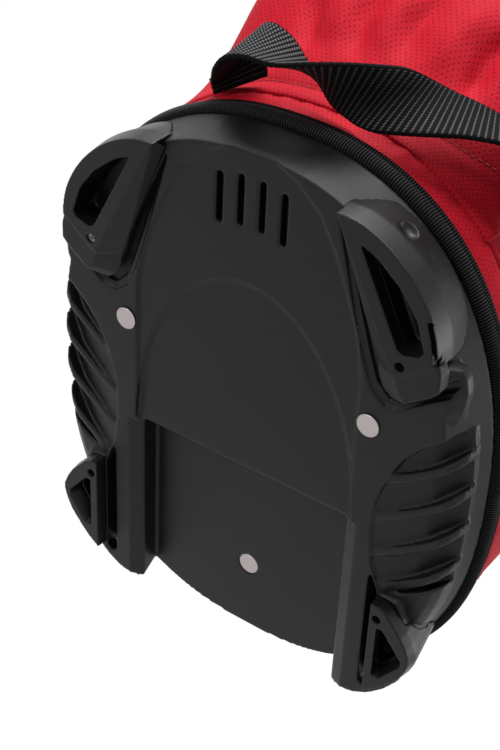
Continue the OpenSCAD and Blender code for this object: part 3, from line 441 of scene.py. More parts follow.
def pin_dot_cloth(name, thread, dot, highlight):
    """A dense weave: rows of pin dots set half a step apart, and fine threads with a painted highlight: a
    paler colour on each thread's crown.
    """
    finish = Finish(name, thread, 0.6, specular=0.08)
    finish.shader.inputs["Sheen Weight"].default_value = 0.03
    finish.shader.inputs["Sheen Roughness"].default_value = 0.3
    finish.shader.inputs["Sheen Tint"].default_value = (*highlight, 1)
    turned = finish.add("Mapping", Rotation=(0, 0, radians(45)))
    finish.join(finish.places((DOT_ALONG, 2 * DOT_ROWS, 1), uv=True), turned.inputs["Vector"])
    dots = finish.add("TexVoronoi", Scale=2 ** 0.5, Randomness=0.06)
    finish.join(turned.outputs["Vector"], dots.inputs["Vector"])
    threads = finish.add("TexVoronoi", Scale=1.0, Randomness=0.2)
    finish.join(finish.places((THREAD_PITCH, THREAD_PITCH, 1), uv=True), threads.inputs["Vector"])
    dot_mask = finish.between(dots.outputs["Distance"], 0.08, 0.26, 0.0, 1.0)
    # thread_mask is strongest on each thread's crown, where the paler colour is a painted highlight; it also
    # gives the threads their bump.
    thread_mask = finish.between(threads.outputs["Distance"], 0.15, 0.6, 1.0, 0.0)
    mixed = finish.add("Mix", data_type="RGBA", A=(*dot, 1))
    finish.join(dot_mask, mixed.inputs["Factor"])
    finish.join(finish.ramp(thread_mask, [(0.0, thread), (1.0, highlight)]), mixed.inputs["B"])
    uneven = finish.speckle(CLOTH_PATCH, 3.0)
    shade = finish.add("Mix", data_type="RGBA", blend_type="MULTIPLY", Factor=1.0)
    finish.join(mixed.outputs["Result"], shade.inputs["A"])
    finish.join(finish.ramp(uneven, [(0.3, (0.88, 0.88, 0.88)), (0.7, (1, 1, 1))]), shade.inputs["B"])
    finish.drive("Base Color", shade.outputs["Result"])
    coarse = finish.bump(dot_mask, DOT_DEPTH, 0.7)
    finish.bump(thread_mask, THREAD_DEPTH, 0.6, under=coarse)
    return finish.material


# Each cloth's last colour is the painted highlight on its thread crowns; it also tints the sheen.
red_cloth = pin_dot_cloth("red_cloth", (0.46, 0.002, 0.010), (0.28, 0.001, 0.004), (0.76, 0.022, 0.048))
black_cloth = pin_dot_cloth("black_cloth", (0.014, 0.014, 0.015), (0.006, 0.006, 0.006), (0.03, 0.03, 0.032))
print("cloths:", red_cloth.name, black_cloth.name)

# %% Webbing, binding and tape
WEBBING_W, WEBBING_T, WEBBING_RIB, WEBBING_DASH = 0.030, 0.0018, 0.00255, 0.00155
PLAIN_EDGE, DASH_EDGE = 0.0005, 0.0009
RIB_PITCH = 0.00125


def ribbed_weave(name, colour, highlight, pitch, depth, dash=None, half=1.0):
    """Ribs across a band, each crest paler: a painted highlight. Webbing has instead a row of pale slanting
    dashes
    on each rib, where its threads come up: painted glints, and none on its edges, half a width from its
    middle."""
    finish = Finish(name, colour, 0.75, specular=0.07)
    parts = finish.add("SeparateXYZ")
    finish.join(finish.places((pitch, dash or 1, 1), uv=True), parts.inputs["Vector"])

    def reckon(operation, *values):
        node = finish.add("Math", operation=operation)
        for value, socket in zip(values, node.inputs):
            finish.join(value, socket)
        return node

    def wave(value):
        turns = reckon("MULTIPLY", value)
        turns.inputs[1].default_value = 2 * pi
        return finish.between(reckon("COSINE", turns.outputs[0]).outputs[0], -1, 1, 0, 1)

    ribs = wave(parts.outputs["X"])
    # pale is painted: the highlight on each rib's crest, and for webbing the glints of its dashes.
    pale = finish.between(ribs, 0.6, 0.98, 0, 1)
    if dash:
        slant = wave(reckon("ADD", parts.outputs["X"], parts.outputs["Y"]).outputs[0])
        from_middle = reckon("ABSOLUTE", parts.outputs["Y"]).outputs[0]
        inside = finish.between(from_middle, (half - DASH_EDGE) / dash, (half - PLAIN_EDGE) / dash, 1, 0)
        on_ribs = reckon("MULTIPLY", finish.between(ribs, 0.45, 0.8, 0, 1), inside).outputs[0]
        pale = reckon("MULTIPLY", on_ribs, finish.between(slant, 0.2, 0.6, 0, 1)).outputs[0]
    finish.drive("Base Color", finish.ramp(pale, [(0.0, colour), (1.0, highlight)]))
    finish.drive("Roughness", finish.between(pale, 0, 1, 0.8, 0.5))
    coarse = finish.bump(ribs, depth, 0.9)
    finish.bump(pale, depth / 2, 0.7, under=coarse)
    return finish.material


# The second colour of each band is its painted highlight.
black_webbing = ribbed_weave("black_webbing", (0.0035, 0.0035, 0.0038), (0.13, 0.13, 0.135), WEBBING_RIB,
                             0.0003, WEBBING_DASH, WEBBING_W / 2)
black_binding = ribbed_weave("black_binding", (0.0015, 0.0015, 0.0018), (0.06, 0.06, 0.062), RIB_PITCH,
                             0.0003)
zip_cloth = ribbed_weave("zip_cloth", (0.008, 0.008, 0.009), (0.02, 0.02, 0.022), 0.0012, 0.0001)


def thread_finish(name, colour):
    """Twisted thread: a fine slanting wave along it."""
    finish = Finish(name, colour, 0.5)
    twist = finish.add("TexWave", Scale=1.0, Distortion=1.0)
    finish.join(finish.places((0.0008, 0.0008, 0.0008)), twist.inputs["Vector"])
    shades = [(0.2, tuple(0.7 * c for c in colour)), (0.8, colour)]
    finish.drive("Base Color", finish.ramp(twist.outputs["Fac"], shades))
    finish.bump(twist.outputs["Fac"], 0.0001)
    return finish.material


pale_thread = thread_finish("pale_thread", (0.62, 0.2, 0.22))
grey_thread = thread_finish("grey_thread", (0.16, 0.16, 0.165))
red_thread = thread_finish("red_thread", (0.5, 0.02, 0.035))
print("woven finishes:", [m.name for m in (black_webbing, black_binding, zip_cloth)])

# %% [markdown]
# ## The moulded base and its feet
# The real base is one moulding with rails, ribs and a recess, and four feet screwed to it. A copy of each
# solid is filled with small cells, smoothed and thinned out. That rounds every edge a little, as in a mould.

# %% Round the moulded pieces
moulded_base = rounded("moulded_base", "base_moulding", base_plastic, 0.0008, 2, 0.25)
settle(moulded_base, ["base_moulding"])
for place in ("rear_foot_left", "rear_foot_right", "front_foot_left", "front_foot_right"):
    foot = rounded("moulded_" + place, place, foot_plastic, 0.0005, 3, 0.6)
    settle(foot, [place])

# %% [markdown]
# ## Rivets
# The three cap rivets are low domes of nickel with a turned edge. A dome is a line spun round its axis.

# %% Spin the rivets
RIVET_HEAD, RIVET_RISE, RIVET_SHANK, RIVET_TOP = 0.0055, 0.0015, 0.003, 0.02831
RIVET_RIM, RIM_ROUND = 0.0006, 0.0003
RIVETS = [(-0.066, -0.0275, 0.007), (0.066, -0.0275, 0.007), (0, 0.0945, 0.021)]
rivets = bmesh.new()
for x, y, seat in RIVETS:
    dome = [(RIVET_HEAD * cos(radians(a)), seat - RIVET_RIM - (RIVET_RISE - RIVET_RIM) * sin(radians(a)))
            for a in range(0, 91, 9)]
    line = [(RIVET_SHANK, RIVET_TOP), (RIVET_SHANK, seat), (RIVET_HEAD - RIM_ROUND, seat),
            (RIVET_HEAD, seat - RIM_ROUND)]
    verts = [rivets.verts.new((x + r, y, z)) for r, z in line + dome[:-1]]
    tip = rivets.verts.new((x, y, dome[-1][1]))
    cap = rivets.verts.new((x, y, RIVET_TOP))
    verts = [cap] + verts + [tip]
    edges = [rivets.edges.new(pair) for pair in zip(verts, verts[1:])]
    bmesh.ops.spin(rivets, geom=verts + edges, cent=(x, y, 0), axis=(0, 0, 1), angle=2 * pi, steps=40,
                   use_merge=True, use_duplicate=False)
bmesh.ops.remove_doubles(rivets, verts=rivets.verts, dist=1e-6)
bmesh.ops.recalc_face_normals(rivets, faces=rivets.faces)
cap_rivets = as_piece("cap_rivets", rivets, rivet_nickel)
settle(cap_rivets, ["base_rivets"])

# %% [markdown]
# ## The ribbed binding
# A band of grosgrain covers the raw edge where the cloth meets the base. It is folded over, so it swells in
# the middle, and a row of stitches holds its upper part down. The ribs are real: the band is spun in
# narrow steps, four to a rib, and they are pushed out and in by turns. The part above the stitches is half a
# rib behind the part below them.

# %% Spin the binding
BINDING_LOW, BINDING_SEAM, BINDING_TOP = 0.0313, 0.0386, 0.0424
BINDING_LINE = [(-0.0020, BINDING_LOW), (0.0006, BINDING_LOW), (0.0019, 0.0316), (0.0029, 0.0326),
                (0.0035, 0.0341), (0.0036, 0.0357), (0.0032, 0.0372), (0.0025, 0.0382),
                (0.0016, BINDING_SEAM), (0.0021, 0.0393), (0.0026, 0.0403), (0.0025, 0.0415),
                (0.0017, BINDING_TOP), (-0.0002, 0.0421)]
RIB_STEPS, RIB_RISE = 4, 0.00022
rib_count = round(GIRTH / RIB_PITCH)
binding = spun_round(BINDING_LINE, rib_count * RIB_STEPS, closed=True)
for vert in binding.verts:
    phase = 0.5 if vert.co.z > BINDING_SEAM else 0.0
    turn = turn_of(vert.co)
    wave = cos(2 * pi * (length_at(turn) / GIRTH * rib_count + phase))
    vert.co += oval_facing(turn) * RIB_RISE * wave
sewn_binding = as_piece("sewn_binding", binding, black_binding)
weave_map(sewn_binding.data)
settle(sewn_binding, ["base_binding"])

# %% [markdown]
# ## Stitches
# A stitch is a short bit of thread that dips into the cloth at both ends. Each is a small ball stretched
# along its path, which has few enough faces to repeat hundreds of times.

# %% Sew a row of stitches
def sew(name, spots, outs, finish, length=0.0028, gap=0.0012, thread=0.00035, closed=False):
    """Stitches along a line of spots; outs are the directions away from the cloth there."""
    shape = bmesh.new()
    pairs = list(zip(spots, spots[1:] + spots[:1])) if closed else list(zip(spots, spots[1:]))
    walked, due = 0.0, 0.0
    for index, (start, end) in enumerate(pairs):
        run = (end - start).length
        while due < walked + run:
            share = (due - walked) / run
            along = (end - start).normalized()
            up = outs[index % len(outs)].normalized()
            middle = start.lerp(end, share) + up * thread * 0.4
            side = along.cross(up).normalized()
            turn = Matrix((side, up, along)).transposed().to_4x4()
            made = bmesh.ops.create_icosphere(shape, subdivisions=1, radius=1.0)["verts"]
            bmesh.ops.transform(shape, verts=made, matrix=Matrix.Translation(middle) @ turn @ Matrix.Diagonal(
                (thread, thread * 0.8, length / 2, 1)))
            due += length + gap
        walked += run
    settle(as_piece(name, shape, finish))


def round_line(grow, height, steps=180):
    turns = [turn_at(GIRTH * step / steps) for step in range(steps)]
    return [oval(turn, grow, height) for turn in turns], [oval_facing(turn) for turn in turns]


spots, outs = round_line(0.0018, BINDING_SEAM)
sew("binding_stitches", spots, outs, grey_thread, 0.0028, 0.0009, 0.00026, closed=True)

# %% [markdown]
# ## Folds in cloth
# Cloth folds where it is pulled between seams. After a piece has its full form, a fold is carved along a
# line: points near the line move inward or outward, most in its middle and not at all at its ends.

# %% Carve folds
FOLD_END = 0.35
RIPPLE_START = Vector((7.1, 3.7, 1.9))


def spread(co, line):
    """Distance from a point to a line of points, and how far along the line its nearest place is."""
    best, place = 1e9, 0.0
    lengths = [(b - a).length for a, b in zip(line, line[1:])]
    total, walked = sum(lengths), 0.0
    for (a, b), length in zip(zip(line, line[1:]), lengths):
        share = min(max((co - a).dot(b - a) / length ** 2, 0), 1)
        gap = (co - a.lerp(b, share)).length
        if gap < best:
            best, place = gap, (walked + share * length) / total
        walked += length
    return best, place


def carve(mesh, line, depth, width):
    """Pushes the surface along its normals: in for a positive depth, out for a negative one."""
    line = [Vector(p) for p in line]
    low = Vector([min(p[i] for p in line) - 3 * width for i in range(3)])
    high = Vector([max(p[i] for p in line) + 3 * width for i in range(3)])
    moves = {}
    for vert in mesh.vertices:
        if all(low[i] <= vert.co[i] <= high[i] for i in range(3)):
            gap, place = spread(vert.co, line)
            if gap < 3 * width:
                ends = min(place, 1 - place) / FOLD_END
                fade = 1 if ends > 1 else ends * ends * (3 - 2 * ends)
                moves[vert.index] = -vert.normal * depth * exp(-(gap / width) ** 2) * fade
    for index, move in moves.items():
        mesh.vertices[index].co += move
    mesh.update()


def ripple(mesh, size, depth, stretch, slack):
    """Broad uneven waves, the slack of foam-backed cloth, with finer ones on them."""
    moves = []
    for vert in mesh.vertices:
        at = Vector([vert.co[i] * stretch[i] / size for i in range(3)]) + RIPPLE_START
        value = noise.noise(at) + 0.4 * noise.noise(at * 2.3)
        moves.append(vert.normal * depth * value * slack(vert.co))
    for vert, move in zip(mesh.vertices, moves):
        vert.co += move
    mesh.update()


print("a fold keeps", round(exp(-1), 2), "of its depth at one width from its middle")

# %% [markdown]
# ## The cloth band above the binding
# Between the binding and the seam under the pockets runs a narrow band of red cloth. It is a line spun round
# the bag, thickened and rippled a little where the seam gathers it.

# %% Spin the band
BAND_LINE = [(-0.0002, 0.0365), (-0.0001, 0.039), (0.0000, 0.041), (0.0006, 0.0435), (0.0013, 0.047),
             (0.0015, 0.0505), (0.0014, 0.0535), (0.0011, 0.0556), (0.0004, 0.0567)]
BAND_STEPS, CLOTH_WALL = 520, 0.0022
GATHER_FROM, GATHER_RISE, GATHER_PITCH, GATHER_DEPTH = 0.043, 0.008, 0.006, 0.0007
base_band = as_piece("base_band", spun_round(BAND_LINE, BAND_STEPS, closed=False), red_cloth)
for vert in base_band.data.vertices:
    turn = turn_of(vert.co)
    near_seam = max(0.0, min(1.0, (vert.co.z - GATHER_FROM) / GATHER_RISE))
    pull = noise.noise(Vector((length_at(turn) / GATHER_PITCH, 0, 3)))
    vert.co += oval_facing(turn) * GATHER_DEPTH * pull * near_seam
thickened(base_band, CLOTH_WALL)
applied(base_band)
weave_map(base_band.data)
settle(base_band, ["base_skirt"])
spots, outs = round_line(0.0014, 0.0532)
sew("band_stitches", spots, outs, red_thread, 0.0028, 0.0008, 0.00014, closed=True)

# %% [markdown]
# ## The body
# The body is a tall sleeve of foam-backed cloth held by three stays and the cuff. It is one line spun round
# the bag, with long ripples that fade towards its ends.

# %% Spin the body
BODY_LOW, BODY_TOP, BODY_HEM, BODY_FADE = 0.057, 0.8217, 0.003, 0.05
BODY_RINGS, BODY_STEPS = 110, 240


def body_slack(co):
    return max(0.0, min((co.z - BODY_LOW) / BODY_FADE, (BODY_TOP - co.z) / BODY_FADE, 1))


body_run = BODY_TOP - BODY_LOW - 2 * BODY_HEM
body_line = [(0.0003, BODY_LOW)]
body_line += [(0.0004, BODY_LOW + BODY_HEM + body_run * i / BODY_RINGS) for i in range(BODY_RINGS + 1)]
body_line += [(0.0, BODY_TOP - 0.0006)]
body_cloth = as_piece("body_cloth", spun_round(body_line, BODY_STEPS, closed=False), red_cloth)
ripple(body_cloth.data, size=0.05, depth=0.0016, stretch=(1, 1, 0.35), slack=body_slack)
thickened(body_cloth, CLOTH_WALL)
applied(body_cloth)
weave_map(body_cloth.data)
settle(body_cloth, ["body_tube"])

# %% [markdown]
# ## The pockets
# A pocket is cut larger than the place it is sewn to, so it swells and wrinkles. Its face is a grid pressed
# to the pocket's form and run as cloth under a little pressure with its seams held. How far a point may move
# is capped, and points beside the zip stay put so that the slider has its room.

# %% The pockets' forms
# For each pocket: its middle and half its width as turns of the oval, its low and high edge, its depth,
# and how high and how full it rises from its low edge at its left and at its right.
POCKETS = {
    "ball": (272, 43, 0.0573, 0.307, 0.044, (0.095, 1.6), (0.110, 1.8)),
    "accessory": (270, 42, 0.323, 0.493, 0.026, (0.040, 1), (0.040, 1)),
    "left": (172, 32, 0.165, 0.465, 0.030, (0.060, 1), (0.060, 1)),
    "right": (8, 32, 0.165, 0.635, 0.030, (0.060, 1), (0.060, 1)),
}
POCKET_BACK, POCKET_EDGE, POCKET_LAP = 0.001, 0.002, (0.0019, -0.003)
SIDE_ROUND, TOP_ROUND, ROUND_FULLNESS = 0.4, 0.060, 0.8
ARCH_DROP, ZIP_START, ZIP_STEPS = 0.62, 0.070, 16


def swell(share, fullness):
    return sin(pi / 2 * min(max(share, 0), 1)) ** fullness


def pocket_spot(pocket, u, z):
    """The point of a pocket's face at u, from -1 to 1 across it, and at the height z."""
    middle, half, low, high, depth, left, right = POCKETS[pocket]
    side = (u + 1) / 2
    rise = left[0] * (1 - side) + right[0] * side
    fullness = left[1] * (1 - side) + right[1] * side
    stand = POCKET_EDGE + (depth - POCKET_EDGE) * swell((1 - abs(u)) / SIDE_ROUND, ROUND_FULLNESS) * swell(
        (z - low) / rise, fullness) * swell((high - z) / TOP_ROUND, ROUND_FULLNESS)
    return oval(middle + u * half, POCKET_BACK + stand, z)


def pocket_facing(pocket, u, z):
    across = pocket_spot(pocket, u + 0.01, z) - pocket_spot(pocket, u - 0.01, z)
    up = pocket_spot(pocket, u, z + 0.0005) - pocket_spot(pocket, u, z - 0.0005)
    return across.cross(up).normalized()


def arch_zip(pocket, reach, low, corner):
    """A zip up one side, over the top and down the other, as shares of the pocket's width and heights."""
    half, bottom, high = POCKETS[pocket][1:4]
    top = high - TOP_ROUND * ARCH_DROP
    inset = corner / (HALF_W * half * pi / 90)
    turns = [radians(15 * i) for i in range(7)]
    path = [(reach, bottom + low)]
    path += [(reach - inset * (1 - cos(a)), top - corner * (1 - sin(a))) for a in turns]
    path += [(s * (reach - inset), top) for s in (0.75, 0.5, 0.25, 0, -0.25, -0.5, -0.75)]
    path += [(-reach + inset * (1 - cos(a)), top - corner * (1 - sin(a))) for a in reversed(turns)]
    return path + [(-reach, bottom + low)]


def straight_zip(pocket, reach):
    bottom, high = POCKETS[pocket][2:4]
    low, top = bottom + ZIP_START, high - TOP_ROUND
    return [(reach, low + (top - low) * i / ZIP_STEPS) for i in range(ZIP_STEPS + 1)]


ZIPS = {
    "ball": arch_zip("ball", 0.55, 0.118, 0.034),
    "accessory": arch_zip("accessory", 0.55, 0.045, 0.026),
    "left": straight_zip("left", 0.5),
    "right": straight_zip("right", -0.5),
}
print("points on each zip:", {name: len(path) for name, path in ZIPS.items()})

# %% A smooth curve through points
def smooth_path(points, times):
    """More points on a smooth curve through these."""
    out = []
    for i in range(len(points) - 1):
        p0, p1 = points[max(i - 1, 0)], points[i]
        p2, p3 = points[i + 1], points[min(i + 2, len(points) - 1)]
        for j in range(times):
            s = j / times
            out.append(tuple(b + s * (c - a) / 2 + s * s * (2 * a - 5 * b + 4 * c - d) / 2
                             + s ** 3 * (3 * b - a - 3 * c + d) / 2 for a, b, c, d in zip(p0, p1, p2, p3)))
    return out + [tuple(points[-1])]


print("points on a curve through three:", len(smooth_path([(0, 0), (1, 1), (2, 0)], 4)))

# %% Run a piece as cloth
CLOTH_FRAMES = 20
CLOTH_RULES = {
    "quality": 5, "mass": 0.3, "air_damping": 3, "tension_stiffness": 15, "compression_stiffness": 15,
    "shear_stiffness": 8, "bending_stiffness": 0.6, "use_pressure": True, "vertex_group_mass": "held",
}


def swollen(piece, held, pressure, growth, cap):
    """Cloth under pressure for twenty frames, its moves capped and worked into the mesh."""
    mesh = piece.data
    start = [vert.co.copy() for vert in mesh.vertices]
    group = piece.vertex_groups.new(name="held")
    for index, share in enumerate(held(co) for co in start):
        if share > 0:
            group.add([index], share, "REPLACE")
    cloth = piece.modifiers.new("cloth", "CLOTH")
    rules = cloth.settings
    for rule, value in CLOTH_RULES.items():
        setattr(rules, rule, value)
    rules.uniform_pressure_force = pressure
    rules.shrink_min = -growth
    rules.effector_weights.gravity = 0
    cloth.point_cache.frame_start = 1
    cloth.point_cache.frame_end = CLOTH_FRAMES
    for step in range(1, CLOTH_FRAMES + 1):
        scene.frame_set(step)
    graph = bpy.context.evaluated_depsgraph_get()
    shape = piece.evaluated_get(graph).to_mesh()
    ends = [vert.co.copy() for vert in shape.vertices]
    piece.evaluated_get(graph).to_mesh_clear()
    piece.modifiers.clear()
    scene.frame_set(1)
    most = 0.0
    for vert, old, new in zip(mesh.vertices, start, ends):
        move = new - old
        if move.length > cap:
            move *= cap / move.length
        most = max(most, move.length)
        vert.co = old + move
    mesh.update()
    print(f"{piece.name} moved up to {most * 1000:.1f} mm")


print("cloth runs for", CLOTH_FRAMES, "frames")

# %% Lay and run the pockets
POCKET_PRESSURE, POCKET_GROWTH = 2.0, 0.05
ZIP_LANE, LANE_FADE, SEAM_FADE = 0.014, 0.006, 0.045
HELD_RIM, HELD_TURN = 0.001, 0.5


def pocket_sheet(pocket, columns, rows):
    """A grid pressed to the pocket's form. Its outermost ring turns in to the body, where it is sewn on."""
    low, high = POCKETS[pocket][2:4]
    shape = bmesh.new()
    bmesh.ops.create_grid(shape, x_segments=columns, y_segments=rows, size=0.5)
    for vert in shape.verts:
        column, row = round((vert.co.x + 0.5) * columns), round((vert.co.y + 0.5) * rows)
        u = min(max((column - 1) / (columns - 2), 0), 1) * 2 - 1
        share = min(max((row - 1) / (rows - 2), 0), 1)
        z = low + (high - low) * (0.5 * share + 0.25 * (1 - cos(pi * share)))
        vert.co = pocket_spot(pocket, u, z)
        if column in (0, columns) or row in (0, rows):
            vert.co = oval(turn_of(vert.co), POCKET_BACK, z)
        if row == 0:
            vert.co = oval(turn_of(vert.co), *POCKET_LAP)
            vert.co.z += low
    shape.normal_update()
    facing = oval_facing(POCKETS[pocket][0])
    if sum(face.normal.dot(facing) for face in shape.faces) < 0:
        bmesh.ops.reverse_faces(shape, faces=shape.faces)
    return as_piece(f"cloth_{pocket}_pocket", shape, red_cloth)


def pocket_hold(pocket):
    """Holds the seams, and a lane either side of the zip."""
    middle, half, low, high = POCKETS[pocket][:4]
    lane = [pocket_spot(pocket, u, z) for u, z in ZIPS[pocket]]

    def hold(co):
        turn = (turn_of(co) - middle + 180) % 360 - 180
        if co.z < low + HELD_RIM or co.z > high - HELD_RIM or abs(turn) > half - HELD_TURN:
            return 1.0
        by_zip = 1 - (spread(co, lane)[0] - ZIP_LANE) / LANE_FADE
        by_seam = 1 - (co.z - low) / SEAM_FADE
        return min(max(by_zip, by_seam, 0), 1)

    return hold


def cloth_pocket(pocket, columns, rows, cap):
    piece = pocket_sheet(pocket, columns, rows)
    swollen(piece, pocket_hold(pocket), POCKET_PRESSURE, POCKET_GROWTH, cap)
    return piece


pockets = {
    "ball": cloth_pocket("ball", 76, 88, cap=0.006),
    "accessory": cloth_pocket("accessory", 66, 60, cap=0.005),
    "left": cloth_pocket("left", 40, 80, cap=0.005),
    "right": cloth_pocket("right", 40, 116, cap=0.005),
}

# %% Fold the ball pocket where the handle pulls at it, and give the pockets their wall
POCKET_WALL = 0.002
# For each fold: its line, its depth and its width.
BALL_FOLDS = [
    ([(0.0505, -0.1395, 0.086), (0.0490, -0.1480, 0.100), (0.0485, -0.1560, 0.113), (0.056, -0.164, 0.132)],
     0.0060, 0.0048),
    ([(-0.0030, -0.1450, 0.082), (-0.0115, -0.1588, 0.105), (-0.0080, -0.1680, 0.130)], 0.0034, 0.0050),
    ([(0.0180, -0.1470, 0.087), (0.0125, -0.1597, 0.107), (0.0190, -0.1720, 0.140)], 0.0036, 0.0050),
    ([(-0.0250, -0.1430, 0.080), (-0.0363, -0.1537, 0.101), (-0.0420, -0.1580, 0.122)], 0.0034, 0.0050),
    ([(0.0040, -0.1470, 0.086), (0.0010, -0.1600, 0.108), (0.0060, -0.1700, 0.135)], -0.0026, 0.0050),
    ([(0.0340, -0.1440, 0.088), (0.0310, -0.1560, 0.108), (0.0380, -0.1680, 0.138)], -0.0030, 0.0055),
    ([(-0.0190, -0.1470, 0.086), (-0.0230, -0.1580, 0.108), (-0.0240, -0.1660, 0.135)], -0.0026, 0.0050),
]
LOWER_SEAM = smooth_path([(-0.0700, -0.1080, 0.0600), (-0.0527, -0.1245, 0.0600), (-0.0348, -0.1345, 0.0640),
                          (-0.0100, -0.1380, 0.0640), (0.0200, -0.1370, 0.0660), (0.0526, -0.1308, 0.0714),
                          (0.0633, -0.1260, 0.0738), (0.0752, -0.1190, 0.0797), (0.0860, -0.1080, 0.0860)], 6)
carve(pockets["ball"].data, LOWER_SEAM, depth=0.0010, width=0.0020)
for line, depth, width in BALL_FOLDS:
    carve(pockets["ball"].data, line, depth, width)
for pocket, piece in pockets.items():
    thickened(piece, POCKET_WALL)
    finer = piece.modifiers.new("finer", "SUBSURF")
    finer.levels = finer.render_levels = 1
    applied(piece)
    weave_map(piece.data)
    settle(piece, [pocket + "_pocket"])
surface = BVHTree.FromPolygons([vert.co for vert in pockets["ball"].data.vertices],
                               [face.vertices for face in pockets["ball"].data.polygons])
seam = [Vector(spot) for spot in LOWER_SEAM]
on_cloth = [surface.find_nearest(spot + 0.002 * oval_facing(turn_of(spot)))[0] for spot in seam]
outs = [oval_facing(turn_of(spot)) for spot in on_cloth]
sew("lower_seam_stitches", on_cloth, outs, pale_thread, 0.0026, 0.0010, 0.00022)

# %% [markdown]
# ## The zips
# A zip is two tapes with a row of small teeth between them. The tapes are a narrow grid laid along the zip's
# path on the pocket; each tooth is a bevelled block repeated along it.

# %% Lay tapes and teeth
ZIP_HALF, TAPE_COLUMNS, TAPE_WALL = 0.0125, 8, 0.0006
TOOTH_PITCH, TOOTH_SIDE, TOOTH_LIFT, TOOTH_SIZE = 0.0022, 0.0008, 0.0011, (0.0026, 0.0012, 0.0009, 1)


def zip_frames(pocket):
    """Along the zip: its middle, and the directions along, across and out."""
    path = smooth_path(ZIPS[pocket], 4)
    spots = [pocket_spot(pocket, u, z) for u, z in path]
    frames = []
    for i, (u, z) in enumerate(path):
        along = (spots[min(i + 1, len(spots) - 1)] - spots[max(i - 1, 0)]).normalized()
        side = pocket_facing(pocket, u, z).cross(along).normalized()
        frames.append((spots[i], along, side, along.cross(side).normalized()))
    return frames


def tape(pocket):
    frames = zip_frames(pocket)
    shape = bmesh.new()
    layer = shape.loops.layers.uv.new("weave")
    bmesh.ops.create_grid(shape, x_segments=len(frames) - 1, y_segments=TAPE_COLUMNS, size=0.5)
    reaches = [0.0]
    for here, after in zip(frames, frames[1:]):
        reaches.append(reaches[-1] + (after[0] - here[0]).length)
    for face in shape.faces:
        for loop in face.loops:
            row = round((loop.vert.co.x + 0.5) * (len(frames) - 1))
            loop[layer].uv = (reaches[row], loop.vert.co.y * 2 * ZIP_HALF)
    for vert in shape.verts:
        row = round((vert.co.x + 0.5) * (len(frames) - 1))
        spot, _, side, out = frames[row]
        across = vert.co.y * 2
        lift = 0.0006 + 0.0004 * (1 - abs(across))
        vert.co = spot + side * across * ZIP_HALF + out * lift
    piece = as_piece(f"{pocket}_zip_tape", shape, zip_cloth)
    thickened(piece, TAPE_WALL, -1 if piece.data.polygons[0].normal.dot(frames[0][3]) > 0 else 1)
    settle(applied(piece), [pocket + "_zip"])


def teeth(pocket):
    frames = zip_frames(pocket)
    shape = bmesh.new()
    walked, due, hand = 0.0, TOOTH_PITCH, 1
    for (spot, along, side, out), after in zip(frames, frames[1:]):
        run = (after[0] - spot).length
        while due < walked + run:
            middle = spot.lerp(after[0], (due - walked) / run) + side * TOOTH_SIDE * hand + out * TOOTH_LIFT
            turn = Matrix((side, along, out)).transposed().to_4x4()
            made = bmesh.ops.create_cube(shape, size=1.0)["verts"]
            bmesh.ops.transform(shape, verts=made, matrix=Matrix.Translation(middle) @ turn @ Matrix.Diagonal(
                TOOTH_SIZE))
            due += TOOTH_PITCH
            hand = -hand
        walked += run
    bmesh.ops.bevel(shape, geom=list(shape.edges), offset=0.0002, segments=1, profile=0.5, affect="EDGES",
                    material=-1)
    settle(as_piece(f"{pocket}_zip_teeth", shape, pull_plastic))


for pocket in POCKETS:
    tape(pocket)
    teeth(pocket)

# %% [markdown]
# ## The webbing handle
# A strap of black webbing is sewn in at both ends under the ball pocket and twists on its way. Two smooth
# curves are its edges: their middle is its path, and the direction from one to the other is how it is turned.
# A flat grid is laid along the path, ribbed across and given its thickness.

# %% Lay the webbing handle
SEAM_Z, HANDLE_STEPS, STRAP_COLUMNS, STRAP_RIB = 0.057, 32, 14, 0.00012
# Points of each edge in millimetres: across the bag, out from its pocket side, and up from the seam.
EDGE_A = [(-54.5, -8.6, -1), (-55, -2.5, -5), (-48, 3.5, -13), (-41, 12.5, -22), (-32, 21.5, -28),
          (-20, 26.5, -31), (-5, 27.5, -32), (9, 30.5, -28), (22, 31.5, -20), (33, 30.5, -10), (39, 25.5, 3),
          (44, 20.5, 12), (51, 15.5, 18), (60, 11.5, 24), (69, 6.5, 29), (78, -0.5, 32), (83, -11.5, 31),
          (86, -23.5, 24), (87, -28.5, 12)]
EDGE_B = [(-31, 4.5, 1), (-31, 13.5, 2), (-35, 20.5, 6), (-34, 26.5, 4), (-26, 29.5, 1),
          (-16, 26.5, -1), (-7, 19.5, -3), (2, 12.5, -5), (10, 7.5, -8), (20, 4.5, -10), (31, 4.5, -12),
          (44, 6.5, -13), (58, 8.5, -9), (71, 9.5, -4), (83, 8.5, 2), (94, 6.5, 9), (103, -5.5, 12),
          (109, -23.5, 13), (108, -43.5, 11)]


def by_the_seam(edge):
    return [(x / 1000, -HALF_L - out / 1000, SEAM_Z + up / 1000) for x, out, up in edge]


def webbing_frames(edge_a, edge_b):
    """Along the webbing: its middle, the directions across and up, and how far along it is."""
    fine_a = [Vector(p) for p in smooth_path(edge_a, HANDLE_STEPS)]
    fine_b = [Vector(p) for p in smooth_path(edge_b, HANDLE_STEPS)]
    spots = [(a + b) / 2 for a, b in zip(fine_a, fine_b)]
    frames, reach = [], 0.0
    for i, spot in enumerate(spots):
        along = (spots[min(i + 1, len(spots) - 1)] - spots[max(i - 1, 0)]).normalized()
        across = (fine_b[i] - fine_a[i]).normalized()
        if i:
            reach += (spot - spots[i - 1]).length
        frames.append((spot, across, along.cross(across).normalized(), reach))
    return frames


